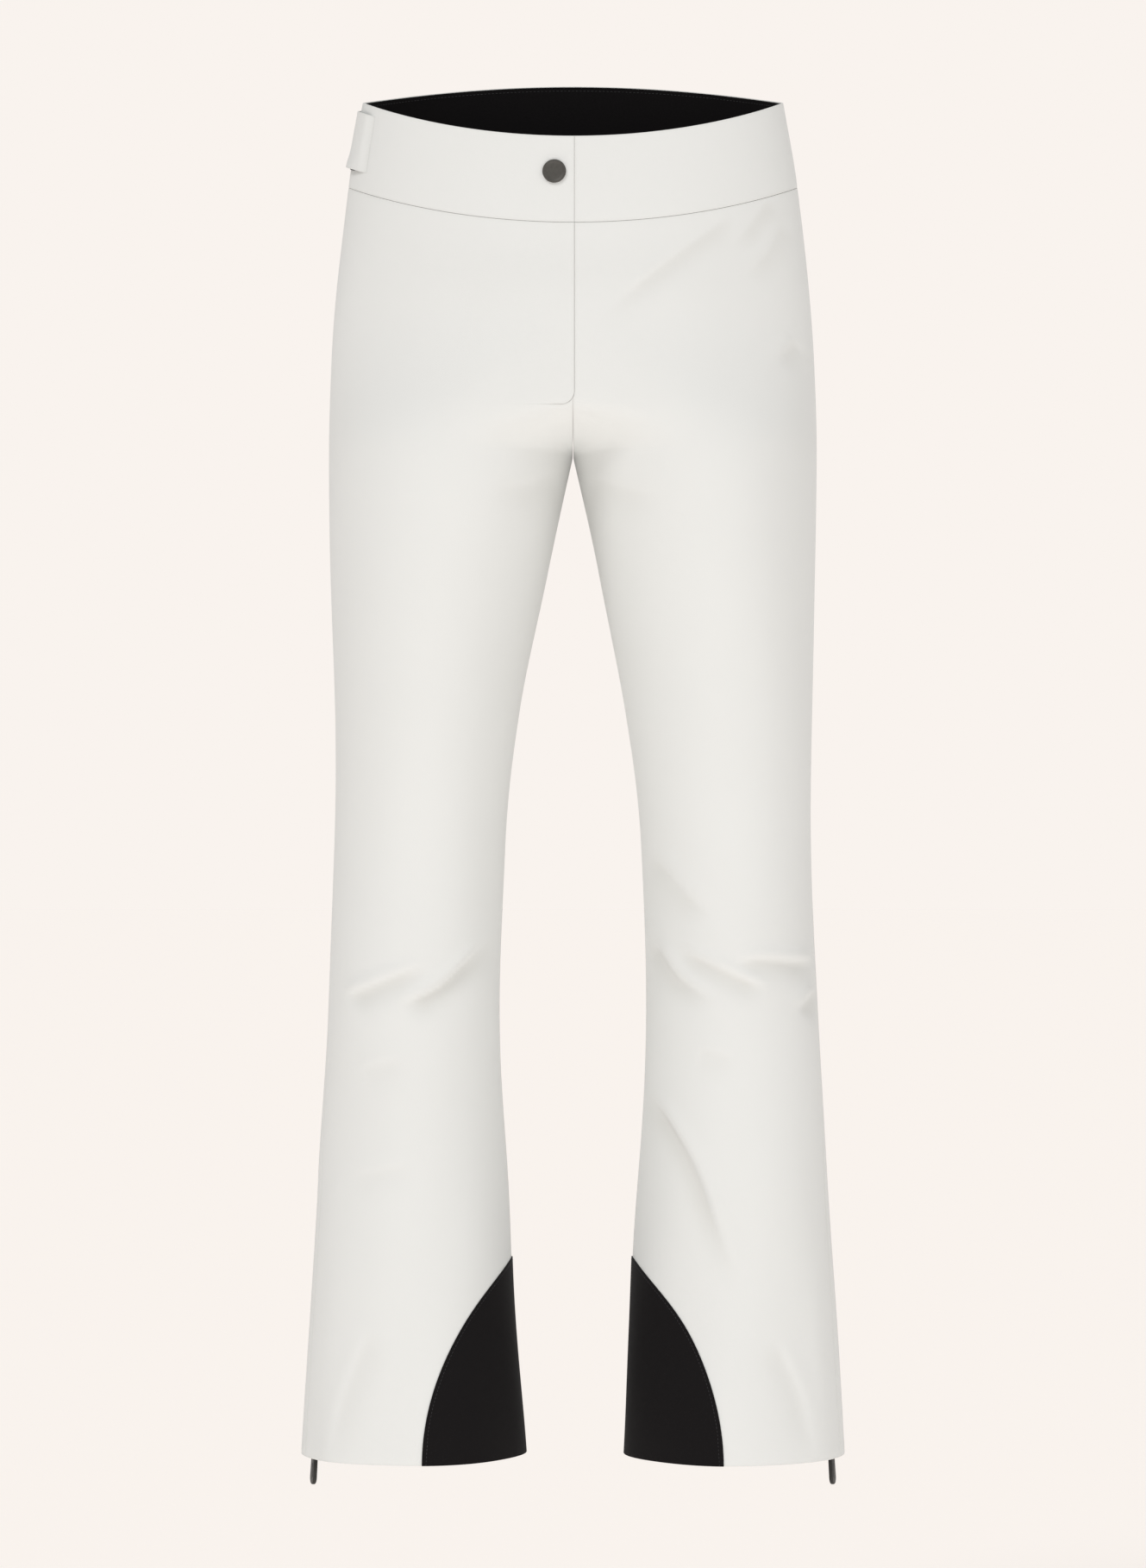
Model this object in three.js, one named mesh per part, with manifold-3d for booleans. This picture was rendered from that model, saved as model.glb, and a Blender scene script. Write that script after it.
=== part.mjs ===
// Women's flared ski pants, in millimetres, +Z up. The front faces -Y and the wearer's right
// leg is at -X. The origin is the centre of the waist opening, level with its side edges.
// Every fabric piece is a thin closed sheet that follows one shared skin; a depth is measured
// inwards from that skin, so layers stack by depth and a negative depth lies outside it.
import * as THREE from "three";
import { mergeVertices } from "three/addons/utils/BufferGeometryUtils.js";
import Module from "manifold-3d";

const wasm = await Module();
wasm.setup();

// ---- Driving dimensions ----
const RISE = 272; // side waist edge to crotch
const INSEAM = 762; // crotch to hem
const WAIST_HALF = 161; // half widths, centre line to outseam
const HIP_HALF = 187;
const KNEE_HALF = 182;
const HEM_HALF = 208.3;
const WAIST_FRONT = 92.5; // depth of the front ahead of the origin at the waist
const BELLY_FRONT = 109;
const KNEE_GAP = 56; // half the space between the legs
const HEM_GAP = 39.4;
const FRONT_DIP = 37; // how far the waist edge dips at the centre front
const BACK_LIFT = 24; // how far it rises at the centre back
const BAND_HEIGHT = 65;
const BAND_FADE = 110; // height over which the waist curve levels out below the band
const MERGE_HEIGHT = 110; // height over which the two legs become one body
const BRIDGING = 0.9; // share of the hollow between the legs that the cloth spans

const CLOTH = 1.2;
const LINING = 0.6;
const BAND_LINING = 0.8;
const LAYER_GAP = 0.3;
const SEAM_GAP = 0.3;
const EDGE_GAP = 0.6; // between the fly flap and the cloth round it
const LINING_DEPTH = CLOTH + 0.6;
const SEWN_DEPTH = CLOTH + 0.7; // where a tape is sewn to the cloth it lies behind

const FLY_FOLD_X = -34; // where the flap folds open
const FLY_EDGE_X = 1; // its free edge
const FLY_BOTTOM = 238.5;
const FLY_CORNER = 10;
const ZIP_X = -16; // chain of the fly zip
const ZIP_GAP = 1.6; // space between two tapes, where a slider's neck runs
const TAPE = 0.6;
const SLIDER_CLEAR = 0.5; // between a slider's plates and its tapes
const SLIDER_PLATE = 0.7;
const PLATE_GAP = TAPE + 2 * SLIDER_CLEAR;
const FLY_TAPE_DEPTH = CLOTH + 2.4;
const FLY_TAPE_REACH = 30; // from the zip's chain to the outer edge of the right tape
const FLY_TAPE_PAST = 14; // how far the left tape runs past the flap's free edge
const UNDERLAP_DEPTH = CLOTH + 3.9;
const UNDERLAP_SEWN_DEPTH = CLOTH + 1.8;
const SHIELD_SEWN_DEPTH = CLOTH + 1.6;
const SHIELD_DEPTH = CLOTH + 4.7;
const FLY_ZIP_TOP = 108;
const SNAP_X = -14;
const SNAP_DROP = 27; // below the waist edge
const SNAP_RADIUS = 9;

const HEM_ZIP = 160; // length of each hem zip
const HEM_TAPE_DEPTH = CLOTH + 1.7;
const HEM_TAPE_WIDTH = 14;
const HEM_ZIP_TURN = THREE.MathUtils.degToRad(18); // how far the outseam swings forward at the hem
const OUTSEAM_SWING = 350; // height over which it does so
const PULLER_LENGTH = 28;
const PULLER_WIDTH = 11;
const PULLER_THICKNESS = 3;

const GUARD_HEIGHT = 150;
const GUARD_HALF_ANGLE = THREE.MathUtils.degToRad(83);
const GUARD_CLOTH = 1;

const LINING_HEM = 240; // lining ends this far above the hem
const GAITER_TOP = 235;
const GAITER_WAIST = 125; // height where the gaiter has drawn in
const GAITER_BOTTOM = 60;
const GAITER_INSET = 34;
const GAITER_SEWN_DEPTH = CLOTH + 1.8;
const ELASTIC_HEIGHT = 22;

const TAB_TALL = 43;
const TAB_LONG = 72;
const TAB_DROP = 7; // from the waist edge to the tab
const TAB_CLOTH = 1;
const RIGHT_TAB_ANGLE = THREE.MathUtils.degToRad(21); // root, ahead of the outseam
const LEFT_TAB_ANGLE = THREE.MathUtils.degToRad(-10); // root, behind the outseam

const CROTCH_Z = -RISE;
const HEM_Z = -RISE - INSEAM;
const RIGHT = -1;
const LEFT = 1;

// ---- Materials ----
function finish(colour, roughness, metalness = 0) {
  return new THREE.MeshStandardMaterial({ color: colour, roughness, metalness });
}

const SHELL = finish(0xe6e5e0, 0.8);
const BLACK_CLOTH = finish(0x17161a, 0.85);
const LINING_CLOTH = finish(0x202024, 0.7);
const TAPE_CLOTH = finish(0xdedcd6, 0.7);
const DARK_TAPE = finish(0x1c1c1e, 0.7);
const RUBBERY = finish(0x19191b, 0.6);
const METAL = finish(0x55534f, 0.4, 0.8);
const DARK_METAL = finish(0x3f3e3c, 0.45, 0.7);

// ---- Profiles ----
const torso = (share) => -RISE * share;
const leg = (share) => CROTCH_Z - INSEAM * share;

// A smooth curve through [z, value] points listed from high to low, with no overshoot.
function curve(points) {
  const slopes = points.map((_, i) => pointSlope(points, i));
  return (z) => {
    let i = 0;
    while (i < points.length - 2 && z < points[i + 1][0]) i += 1;
    const [z0, v0] = points[i];
    const [z1, v1] = points[i + 1];
    const span = z1 - z0;
    const t = (z - z0) / span;
    if (t < 0) return v0 + slopes[i] * (z - z0);
    if (t > 1) return v1 + slopes[i + 1] * (z - z1);
    const square = t * t;
    const cube = square * t;
    const start = v0 * (2 * cube - 3 * square + 1) + slopes[i] * span * (cube - 2 * square + t);
    const end = v1 * (3 * square - 2 * cube) + slopes[i + 1] * span * (cube - square);
    return start + end;
  };
}

function pointSlope(points, i) {
  const rise = (a, b) => (points[b][1] - points[a][1]) / (points[b][0] - points[a][0]);
  if (i === 0) return rise(0, 1);
  if (i === points.length - 1) return rise(i - 1, i);
  const before = rise(i - 1, i);
  const after = rise(i, i + 1);
  return before * after <= 0 ? 0 : (2 * before * after) / (before + after);
}

const outseamAt = curve([
  [0, WAIST_HALF],
  [torso(0.24), WAIST_HALF + 11],
  [torso(0.735), HIP_HALF - 2],
  [CROTCH_Z, HIP_HALF],
  [leg(0.345), KNEE_HALF],
  [leg(0.56), KNEE_HALF + 6],
  [HEM_Z, HEM_HALF],
]);
const gapAt = curve([
  [CROTCH_Z, SEAM_GAP / 2],
  [leg(0.115), KNEE_GAP * 0.35],
  [leg(0.253), KNEE_GAP * 0.72],
  [leg(0.39), KNEE_GAP * 0.93],
  [leg(0.52), KNEE_GAP],
  [leg(0.73), (KNEE_GAP + HEM_GAP) / 2 + 2],
  [HEM_Z, HEM_GAP],
]);
// The front falls in a straight line behind the fly, so its zip and fold run straight.
const frontLine = (share) => -WAIST_FRONT - (BELLY_FRONT - WAIST_FRONT) * share;
const frontAt = curve([
  [torso(-0.1), frontLine(-0.1)],
  [torso(0.4), frontLine(0.4)],
  [torso(0.8), frontLine(0.8)],
  [torso(0.9), frontLine(0.9)],
  [CROTCH_Z, frontLine(0.91)],
  [leg(0.08), -103],
  [leg(0.23), -88.5],
  [leg(0.46), -73],
  [leg(0.64), -73.5],
  [HEM_Z, -82],
]);
const backAt = curve([
  [torso(-0.09), 97],
  [torso(0.24), 111],
  [torso(0.66), 125],
  [CROTCH_Z, 121],
  [leg(0.12), 108],
  [leg(0.28), 92],
  [leg(0.46), 81],
  [leg(0.67), 84],
  [HEM_Z, 90],
]);
const sideAt = curve([
  [torso(-0.09), 4],
  [torso(0.73), 8],
  [CROTCH_Z, 10],
  [leg(0.46), 4],
  [HEM_Z, 5],
]);

function smoothstep(low, high, value) {
  return THREE.MathUtils.smoothstep(value, low, high);
}

// ---- The skin ----
// One leg's cross-section at height z: an oval that, above the crotch, grows across the centre
// line until both sides share one oval.
function section(z) {
  const outer = outseamAt(z);
  const t = THREE.MathUtils.clamp((z - CROTCH_Z) / MERGE_HEIGHT, 0, 1);
  const startSlope = (0.25 * MERGE_HEIGHT) / outer;
  const merged = t * t * (3 - 2 * t) + startSlope * (t * t * t - 2 * t * t + t);
  const inner = t > 0 ? SEAM_GAP / 2 - (outer + SEAM_GAP / 2) * merged : gapAt(z);
  return {
    centre: (outer + inner) / 2,
    half: (outer - inner) / 2,
    front: sideAt(z) - frontAt(z),
    back: backAt(z) - sideAt(z),
    side: sideAt(z),
    bridging: BRIDGING * smoothstep(0, 0.33, t),
  };
}

function waistTilt(angle, level) {
  const fade = smoothstep(-BAND_HEIGHT - BAND_FADE, -BAND_HEIGHT, level);
  const turn = Math.abs(Math.sin(angle));
  const front = -FRONT_DIP * (0.7 * turn * turn + 0.3 * turn);
  const back = BACK_LIFT * (0.47 * turn * turn + 0.53 * turn);
  return (angle >= 0 ? front : back) * fade;
}

// A point of the skin. The angle runs from the outseam (0) round the front to the inseam (pi),
// and round the back as negative angles; level is the height that the row has at the outseam.
function skin(side, level, angle) {
  const z = level + waistTilt(angle, level);
  const s = section(z);
  const x = s.centre + s.half * Math.cos(angle);
  const reach = angle >= 0 ? -s.front : s.back;
  const turn = Math.abs(Math.sin(angle));
  const spanned = Math.cos(angle) < 0 ? s.bridging * (1 - turn) : 0;
  return new THREE.Vector3(side * x, s.side + reach * (turn + spanned), z);
}

function outward(side, level, angle) {
  const round = skin(side, level, angle + 1e-3).sub(skin(side, level, angle - 1e-3));
  const up = skin(side, level + 0.2, angle).sub(skin(side, level - 0.2, angle));
  const normal = round.cross(up).normalize();
  return normal.multiplyScalar(-side);
}

function skinAt(side, level, angle, depth) {
  return skin(side, level, angle).addScaledVector(outward(side, level, angle), -depth);
}

// The angle where a panel ends at the centre line, or at the inseam below the crotch.
function lastAngle(level, face) {
  const z = level + waistTilt((face * Math.PI) / 2, level);
  const s = section(z);
  const cosine = (SEAM_GAP / 2 - s.centre) / s.half;
  const reach = face > 0 ? s.front : s.back;
  const inseam = Math.PI - SEAM_GAP / 2 / reach;
  return cosine <= -1 ? inseam : Math.min(Math.acos(cosine), inseam);
}

// The outseam's own angle: at the side on the body, and swung a little forward by the hem zip.
function outseamAngle(level) {
  const zipTop = HEM_Z + HEM_ZIP + 8;
  return HEM_ZIP_TURN * (1 - smoothstep(zipTop, zipTop + OUTSEAM_SWING, level));
}

// The angle at a distance from the outseam, towards the front (face 1) or the back (face -1).
function besideOutseam(level, face, distance = SEAM_GAP / 2) {
  const s = section(level);
  const seam = outseamAngle(level);
  const reach = seam > 0 || face > 0 ? s.front : s.back;
  const speed = Math.hypot(s.half * Math.sin(seam), reach * Math.cos(seam));
  return seam + (face * distance) / speed;
}

// The front angle at which the skin crosses a given distance from the centre line.
function angleAtX(side, level, x) {
  let low = 0;
  let high = Math.PI * 0.9;
  for (let i = 0; i < 40; i += 1) {
    const middle = (low + high) / 2;
    if (skin(side, level, middle).x * side > x) low = middle;
    else high = middle;
  }
  return low;
}

// A point on the front, by its signed distance from the centre line.
function frontAtX(x, level, depth) {
  const side = x < 0 ? RIGHT : LEFT;
  return skinAt(side, level, angleAtX(side, level, Math.abs(x)), depth);
}

// ---- Solids ----
// A closed sheet: pointAt(u, v, depth) with u and v from 0 to 1 gives its two faces.
function sheet(pointAt, columns, rows, nearDepth, farDepth, closed = false) {
  const positions = [];
  const indices = [];
  const width = closed ? columns : columns + 1;
  const count = width * (rows + 1);
  for (const layer of [0, 1]) {
    for (let r = 0; r <= rows; r += 1) {
      for (let c = 0; c < width; c += 1) {
        const u = c / columns;
        const v = r / rows;
        const depth = layer ? farDepth : nearDepth;
        const p = pointAt(u, v, depth);
        positions.push(p.x, p.y, p.z);
      }
    }
  }
  const at = (layer, r, c) => layer * count + r * width + (closed ? c % columns : c);
  const quad = (a, b, c, d) => indices.push(a, b, c, a, c, d);
  for (let r = 0; r < rows; r += 1) {
    for (let c = 0; c < columns; c += 1) {
      quad(at(0, r, c), at(0, r + 1, c), at(0, r + 1, c + 1), at(0, r, c + 1));
      quad(at(1, r, c), at(1, r, c + 1), at(1, r + 1, c + 1), at(1, r + 1, c));
    }
  }
  for (let c = 0; c < columns; c += 1) {
    quad(at(0, 0, c), at(0, 0, c + 1), at(1, 0, c + 1), at(1, 0, c));
    quad(at(0, rows, c + 1), at(0, rows, c), at(1, rows, c), at(1, rows, c + 1));
  }
  for (let r = 0; r < rows && !closed; r += 1) {
    quad(at(0, r + 1, 0), at(0, r, 0), at(1, r, 0), at(1, r + 1, 0));
    quad(at(0, r, columns), at(0, r + 1, columns), at(1, r + 1, columns), at(1, r, columns));
  }
  return outwards(positions, indices);
}

// Turns every triangle round when the shape they close is inside out.
function outwards(positions, indices) {
  const at = (i) => new THREE.Vector3().fromArray(positions, indices[i] * 3);
  let volume = 0;
  for (let i = 0; i < indices.length; i += 3) {
    volume += at(i).dot(at(i + 1).cross(at(i + 2)));
  }
  for (let i = 0; i < indices.length && volume < 0; i += 3) {
    [indices[i + 1], indices[i + 2]] = [indices[i + 2], indices[i + 1]];
  }
  const geometry = new THREE.BufferGeometry();
  geometry.setAttribute("position", new THREE.Float32BufferAttribute(positions, 3));
  geometry.setIndex(indices);
  return geometry;
}

function solid(geometry) {
  const bare = geometry.clone();
  bare.deleteAttribute("normal");
  bare.deleteAttribute("uv");
  const merged = mergeVertices(bare, 1e-3);
  return new wasm.Manifold(
    new wasm.Mesh({
      numProp: 3,
      vertProperties: merged.attributes.position.array,
      triVerts: new Uint32Array(merged.index.array),
    }),
  );
}

function geometryOf(manifold) {
  const mesh = manifold.getMesh();
  const geometry = new THREE.BufferGeometry();
  geometry.setAttribute("position", new THREE.BufferAttribute(mesh.vertProperties, 3));
  geometry.setIndex(new THREE.BufferAttribute(mesh.triVerts, 1));
  return geometry;
}

// A prism through the front of the garment, from an outline drawn in X and Z.
function frontPrism(outline) {
  const reach = 160;
  const prism = new THREE.ExtrudeGeometry(outline, {
    depth: reach,
    bevelEnabled: false,
    curveSegments: 6,
  });
  return solid(prism.rotateX(Math.PI / 2));
}

const root = new THREE.Group();

function add(name, geometry, material) {
  const mesh = new THREE.Mesh(geometry, material);
  mesh.name = name;
  root.add(mesh);
  return mesh;
}

const SIDES = [
  { side: RIGHT, word: "right" },
  { side: LEFT, word: "left" },
];
const FACES = [
  { face: 1, word: "front" },
  { face: -1, word: "back" },
];

// ---- Body panels and linings ----
const PANEL_COLUMNS = 12;
const TORSO_ROWS = 8;
const LEG_ROWS = 13;

// Row heights are closest together at the crotch, where the skin bends most.
function panelLevels() {
  const top = -BAND_HEIGHT - SEAM_GAP / 2;
  const levels = [];
  for (let i = 0; i <= TORSO_ROWS; i += 1) {
    levels.push(CROTCH_Z + (top - CROTCH_Z) * (1 - i / TORSO_ROWS) ** 1.6);
  }
  for (let i = 1; i <= LEG_ROWS; i += 1) {
    levels.push(CROTCH_Z - INSEAM * (i / LEG_ROWS) ** 1.15);
  }
  return levels;
}

// Columns are closest together at both edges, where zips and facings lie under the cloth.
const edgeward = (u) => 0.35 * u + 0.325 * (1 - Math.cos(Math.PI * u));

function panelPoint(side, face, levels, inset) {
  return (u, v, depth) => {
    const level = levels[Math.round(v * (levels.length - 1))];
    const first = besideOutseam(level, face, SEAM_GAP / 2 + inset);
    const last = face * (lastAngle(level, face) - inset / 100);
    return skinAt(side, level, first + (last - first) * edgeward(u), depth);
  };
}

function panel(side, face, levels, columns, near, far, inset = 0) {
  return sheet(panelPoint(side, face, levels, inset), columns, levels.length - 1, near, far);
}

// The flap's outline, grown by a margin, with its free bottom corner rounded.
function flapOutline(margin) {
  const left = FLY_FOLD_X + EDGE_GAP / 2 - margin;
  const right = FLY_EDGE_X + margin;
  const bottom = -FLY_BOTTOM - margin;
  const corner = FLY_CORNER + margin;
  const outline = new THREE.Shape();
  outline.moveTo(left, 60);
  outline.lineTo(left, bottom);
  outline.lineTo(right - corner, bottom);
  outline.absarc(right - corner, bottom + corner, corner, -Math.PI / 2, 0, false);
  outline.lineTo(right, 60);
  return outline;
}

function bodyPanels() {
  const opening = frontPrism(flapOutline(EDGE_GAP));
  const levels = panelLevels();
  for (const { side, word: sideWord } of SIDES) {
    for (const { face, word } of FACES) {
      let shape = panel(side, face, levels, PANEL_COLUMNS, 0, CLOTH);
      if (face > 0) shape = geometryOf(solid(shape).subtract(opening));
      add(`${word}_panel_${sideWord}`, shape, SHELL);
    }
  }
}

// The lining stops clear of the fly's layers, which need the space behind the flap.
function bodyLinings() {
  const levels = panelLevels().filter((z) => z > HEM_Z + LINING_HEM);
  const flyDepth = new THREE.Shape();
  const low = -FLY_BOTTOM - 14;
  flyDepth.moveTo(FLY_FOLD_X - 14, 60);
  flyDepth.lineTo(FLY_FOLD_X - 14, low);
  flyDepth.lineTo(FLY_EDGE_X + 17, low);
  flyDepth.lineTo(FLY_EDGE_X + 17, 60);
  const opening = frontPrism(flyDepth);
  for (const { side, word: sideWord } of SIDES) {
    for (const { face, word } of FACES) {
      const far = LINING_DEPTH + LINING;
      let shape = panel(side, face, levels, PANEL_COLUMNS / 2, LINING_DEPTH, far, 1);
      if (face > 0) shape = geometryOf(solid(shape).subtract(opening));
      add(`lining_${word}_${sideWord}`, shape, LINING_CLOTH);
    }
  }
}

// ---- Waistband ----
const BAND_COLUMNS = 10;
const BAND_ROWS = 2;

const bandLevel = (v, inset) => -inset - (BAND_HEIGHT - SEAM_GAP / 2 - 2 * inset) * v;

function bandFront(side, fromX, near, far, inset) {
  const pointAt = (u, v, depth) => {
    const level = bandLevel(v, inset);
    const first = besideOutseam(level, 1, SEAM_GAP / 2 + inset);
    const last = angleAtX(side, level, fromX);
    return skinAt(side, level, first + (last - first) * u, depth);
  };
  return sheet(pointAt, BAND_COLUMNS, BAND_ROWS, near, far);
}

function bandBack(near, far, inset) {
  const pointAt = (u, v, depth) => {
    const level = bandLevel(v, inset);
    const side = u < 0.5 ? RIGHT : LEFT;
    const first = besideOutseam(level, -1, SEAM_GAP / 2 + inset);
    const share = Math.min(u, 1 - u) * 2;
    return skinAt(side, level, first + (-Math.PI / 2 - first) * share, depth);
  };
  return sheet(pointAt, 2 * BAND_COLUMNS, BAND_ROWS, near, far);
}

function waistband() {
  const layers = [
    ["waistband", 0, CLOTH, 0, SHELL],
    ["waistband_lining", CLOTH + LAYER_GAP, CLOTH + LAYER_GAP + BAND_LINING, 0.5, BLACK_CLOTH],
  ];
  for (const [name, near, far, inset, material] of layers) {
    const foldX = -FLY_FOLD_X + EDGE_GAP / 2;
    const edgeX = FLY_EDGE_X + EDGE_GAP;
    add(`${name}_front_right`, bandFront(RIGHT, foldX + inset, near, far, inset), material);
    add(`${name}_front_left`, bandFront(LEFT, edgeX + inset, near, far, inset), material);
    add(`${name}_back`, bandBack(near, far, inset), material);
  }
}

// ---- Fly ----
const FLAP_LINING_DEPTH = CLOTH + LAYER_GAP;
const FLAP_TOP = -BAND_HEIGHT - SEAM_GAP / 2;

// A strip of the front between two x places, with a row at each level and a depth at each x.
function frontStrip(x0, x1, levels, columns, depthAt, thick) {
  const pointAt = (u, v, share) => {
    const x = x0 + (x1 - x0) * u;
    const level = levels[Math.round(v * (levels.length - 1))];
    return frontAtX(x, level, depthAt(x) + thick * share);
  };
  return sheet(pointAt, columns, levels.length - 1, 0, 1);
}

// The body panels' own rows between two levels, so that facets of stacked layers agree.
function sharedLevels(top, bottom) {
  const inside = panelLevels().filter((z) => z < top - 1 && z > bottom + 1);
  return [top, ...inside, bottom];
}

const even = (depth) => () => depth;

function flyFlap() {
  const left = FLY_FOLD_X - 1;
  const right = FLY_EDGE_X + 1;
  const levels = sharedLevels(FLAP_TOP, -FLY_BOTTOM - 6);
  const whole = solid(frontStrip(left, right, levels, 5, even(0), CLOTH));
  add("fly_flap", geometryOf(whole.intersect(frontPrism(flapOutline(0)))), SHELL);
  const near = FLAP_LINING_DEPTH;
  const facing = solid(frontStrip(left, right, levels, 5, even(near), LINING));
  add("fly_flap_facing", geometryOf(facing.intersect(frontPrism(flapOutline(-1)))), LINING_CLOTH);
}

function bandOverlap() {
  const left = FLY_FOLD_X + EDGE_GAP / 2;
  const bottom = -BAND_HEIGHT + SEAM_GAP / 2;
  const levels = [0, bottom / 2, bottom];
  add("waistband_overlap", frontStrip(left, FLY_EDGE_X, levels, 4, even(0), CLOTH), SHELL);
  const near = FLAP_LINING_DEPTH;
  const inner = [-1, bottom / 2, bottom + 1];
  const facing = frontStrip(left + 1, FLY_EDGE_X - 1, inner, 4, even(near), LINING);
  add("waistband_overlap_lining", facing, BLACK_CLOTH);
}

// Depth that eases from a shallow sewn edge at one x to a deep free edge at another.
function easedDepth(shallowX, deepX, shallow, deep) {
  const eased = (x) => {
    const t = THREE.MathUtils.clamp((x - shallowX) / (deepX - shallowX), 0, 1);
    return shallow + (deep - shallow) * t * t * (3 - 2 * t);
  };
  return eased;
}

function bandUnderlap() {
  const depth = easedDepth(FLY_EDGE_X + 13, FLY_EDGE_X + 2, UNDERLAP_SEWN_DEPTH, UNDERLAP_DEPTH);
  const levels = [-3, -BAND_HEIGHT / 2, -BAND_HEIGHT + 3];
  const shape = frontStrip(FLY_FOLD_X - 2, FLY_EDGE_X + 19, levels, 14, depth, CLOTH);
  add("waistband_underlap", shape, BLACK_CLOTH);
}

// Row heights on the fly follow the dipped front edge, so true height is level less the dip.
const flyLevel = (z) => {
  let level = z;
  for (let i = 0; i < 20; i += 1) level += z - (level + waistTilt(Math.PI / 2, level));
  return level;
};

const FLY_ZIP_FOOT = FLY_BOTTOM - 10;

function flyZip() {
  const top = flyLevel(-FLY_ZIP_TOP + 2);
  const foot = flyLevel(-FLY_ZIP_FOOT);
  const rightDepth = easedDepth(FLY_FOLD_X - 8, FLY_FOLD_X + 4, SEWN_DEPTH, FLY_TAPE_DEPTH);
  const leftDepth = easedDepth(FLY_EDGE_X + 10, FLY_EDGE_X, SEWN_DEPTH, FLY_TAPE_DEPTH);
  const rightEdge = ZIP_X - ZIP_GAP / 2;
  const leftEdge = ZIP_X + ZIP_GAP / 2;
  const levels = sharedLevels(top, foot);
  const right = frontStrip(ZIP_X - FLY_TAPE_REACH, rightEdge, levels, 10, rightDepth, TAPE);
  const left = frontStrip(leftEdge, FLY_EDGE_X + FLY_TAPE_PAST, levels, 10, leftDepth, TAPE);
  add("fly_zip_tape_right", right, TAPE_CLOTH);
  add("fly_zip_tape_left", left, TAPE_CLOTH);
  const stopTop = flyLevel(-FLY_ZIP_FOOT - SEAM_GAP);
  const stop = frontStrip(ZIP_X - 3, ZIP_X + 3, [stopTop, stopTop - 4], 2, even(FLY_TAPE_DEPTH), 1);
  add("fly_zip_bottom_stop", stop, METAL);
  const shieldDepth = easedDepth(FLY_EDGE_X + 12, FLY_EDGE_X - 1, SHIELD_SEWN_DEPTH, SHIELD_DEPTH);
  const shieldLevels = sharedLevels(top, foot - 1);
  const shield = frontStrip(FLY_FOLD_X + 4, FLY_EDGE_X + 15, shieldLevels, 12, shieldDepth, LINING);
  add("fly_shield", shield, LINING_CLOTH);
}

// A frame on the skin: its Y axis points out of the cloth and its Z axis runs up it.
function skinFrame(side, level, angle, depth) {
  const out = outward(side, level, angle);
  const up = skin(side, level + 1, angle).sub(skin(side, level - 1, angle));
  up.addScaledVector(out, -up.dot(out)).normalize();
  const group = new THREE.Group();
  const basis = new THREE.Matrix4().makeBasis(out.clone().cross(up), out, up);
  group.quaternion.setFromRotationMatrix(basis);
  group.position.copy(skinAt(side, level, angle, depth));
  root.add(group);
  return group;
}

function frontFrame(x, level, depth) {
  const side = x < 0 ? RIGHT : LEFT;
  return skinFrame(side, level, angleAtX(side, level, Math.abs(x)), depth);
}

function addTo(group, name, geometry, material) {
  const mesh = new THREE.Mesh(geometry, material);
  mesh.name = name;
  group.add(mesh);
  return mesh;
}

function box(width, thick, tall, x, y, z) {
  return new THREE.BoxGeometry(width, thick, tall).translate(x, y, z);
}

function joined(...geometries) {
  const whole = geometries.map(solid).reduce((sum, next) => sum.add(next));
  return geometryOf(whole);
}

// A zip slider in a frame whose Y axis points out of the cloth, centred on the tapes.
function sliderBody(width, tall) {
  const offset = PLATE_GAP / 2 + SLIDER_PLATE / 2;
  const neckTall = 2.4;
  const neckWidth = ZIP_GAP - 2 * SEAM_GAP;
  const neck = box(neckWidth, PLATE_GAP + SLIDER_PLATE, neckTall, 0, 0, (tall - neckTall) / 2);
  const outer = box(width, SLIDER_PLATE, tall, 0, offset, 0);
  const inner = box(width, SLIDER_PLATE, tall, 0, -offset, 0);
  return joined(outer, neck, inner);
}

const FLY_SLIDER_TALL = 9;
const FLY_SLIDER_WIDTH = 8;
const FLY_PULLER_LENGTH = 16;
const FLY_PULLER_WIDTH = 5.2;

function flySlider() {
  const level = flyLevel(-FLY_ZIP_TOP - FLY_SLIDER_TALL / 2);
  const group = frontFrame(ZIP_X, level, FLY_TAPE_DEPTH + TAPE / 2);
  addTo(group, "fly_zip_slider", sliderBody(FLY_SLIDER_WIDTH, FLY_SLIDER_TALL), METAL);
  const outline = new THREE.Shape();
  const round = FLY_PULLER_WIDTH / 2;
  outline.absarc(0, round - FLY_PULLER_LENGTH, round, Math.PI, 0, false);
  outline.lineTo(0.7 * round, 0);
  outline.lineTo(-0.7 * round, 0);
  const puller = new THREE.ExtrudeGeometry(outline, {
    depth: SLIDER_PLATE,
    bevelEnabled: false,
    curveSegments: 8,
  });
  const y = PLATE_GAP / 2 + SLIDER_PLATE;
  puller.rotateX(Math.PI / 2).translate(0, y, -FLY_SLIDER_TALL / 2 - SEAM_GAP);
  addTo(group, "fly_zip_puller", puller, METAL);
}

// ---- Snap ----
function lathe(points, segments = 16) {
  const profile = points.map(([r, y]) => new THREE.Vector2(r, y));
  return new THREE.LatheGeometry(profile, segments);
}

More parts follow.
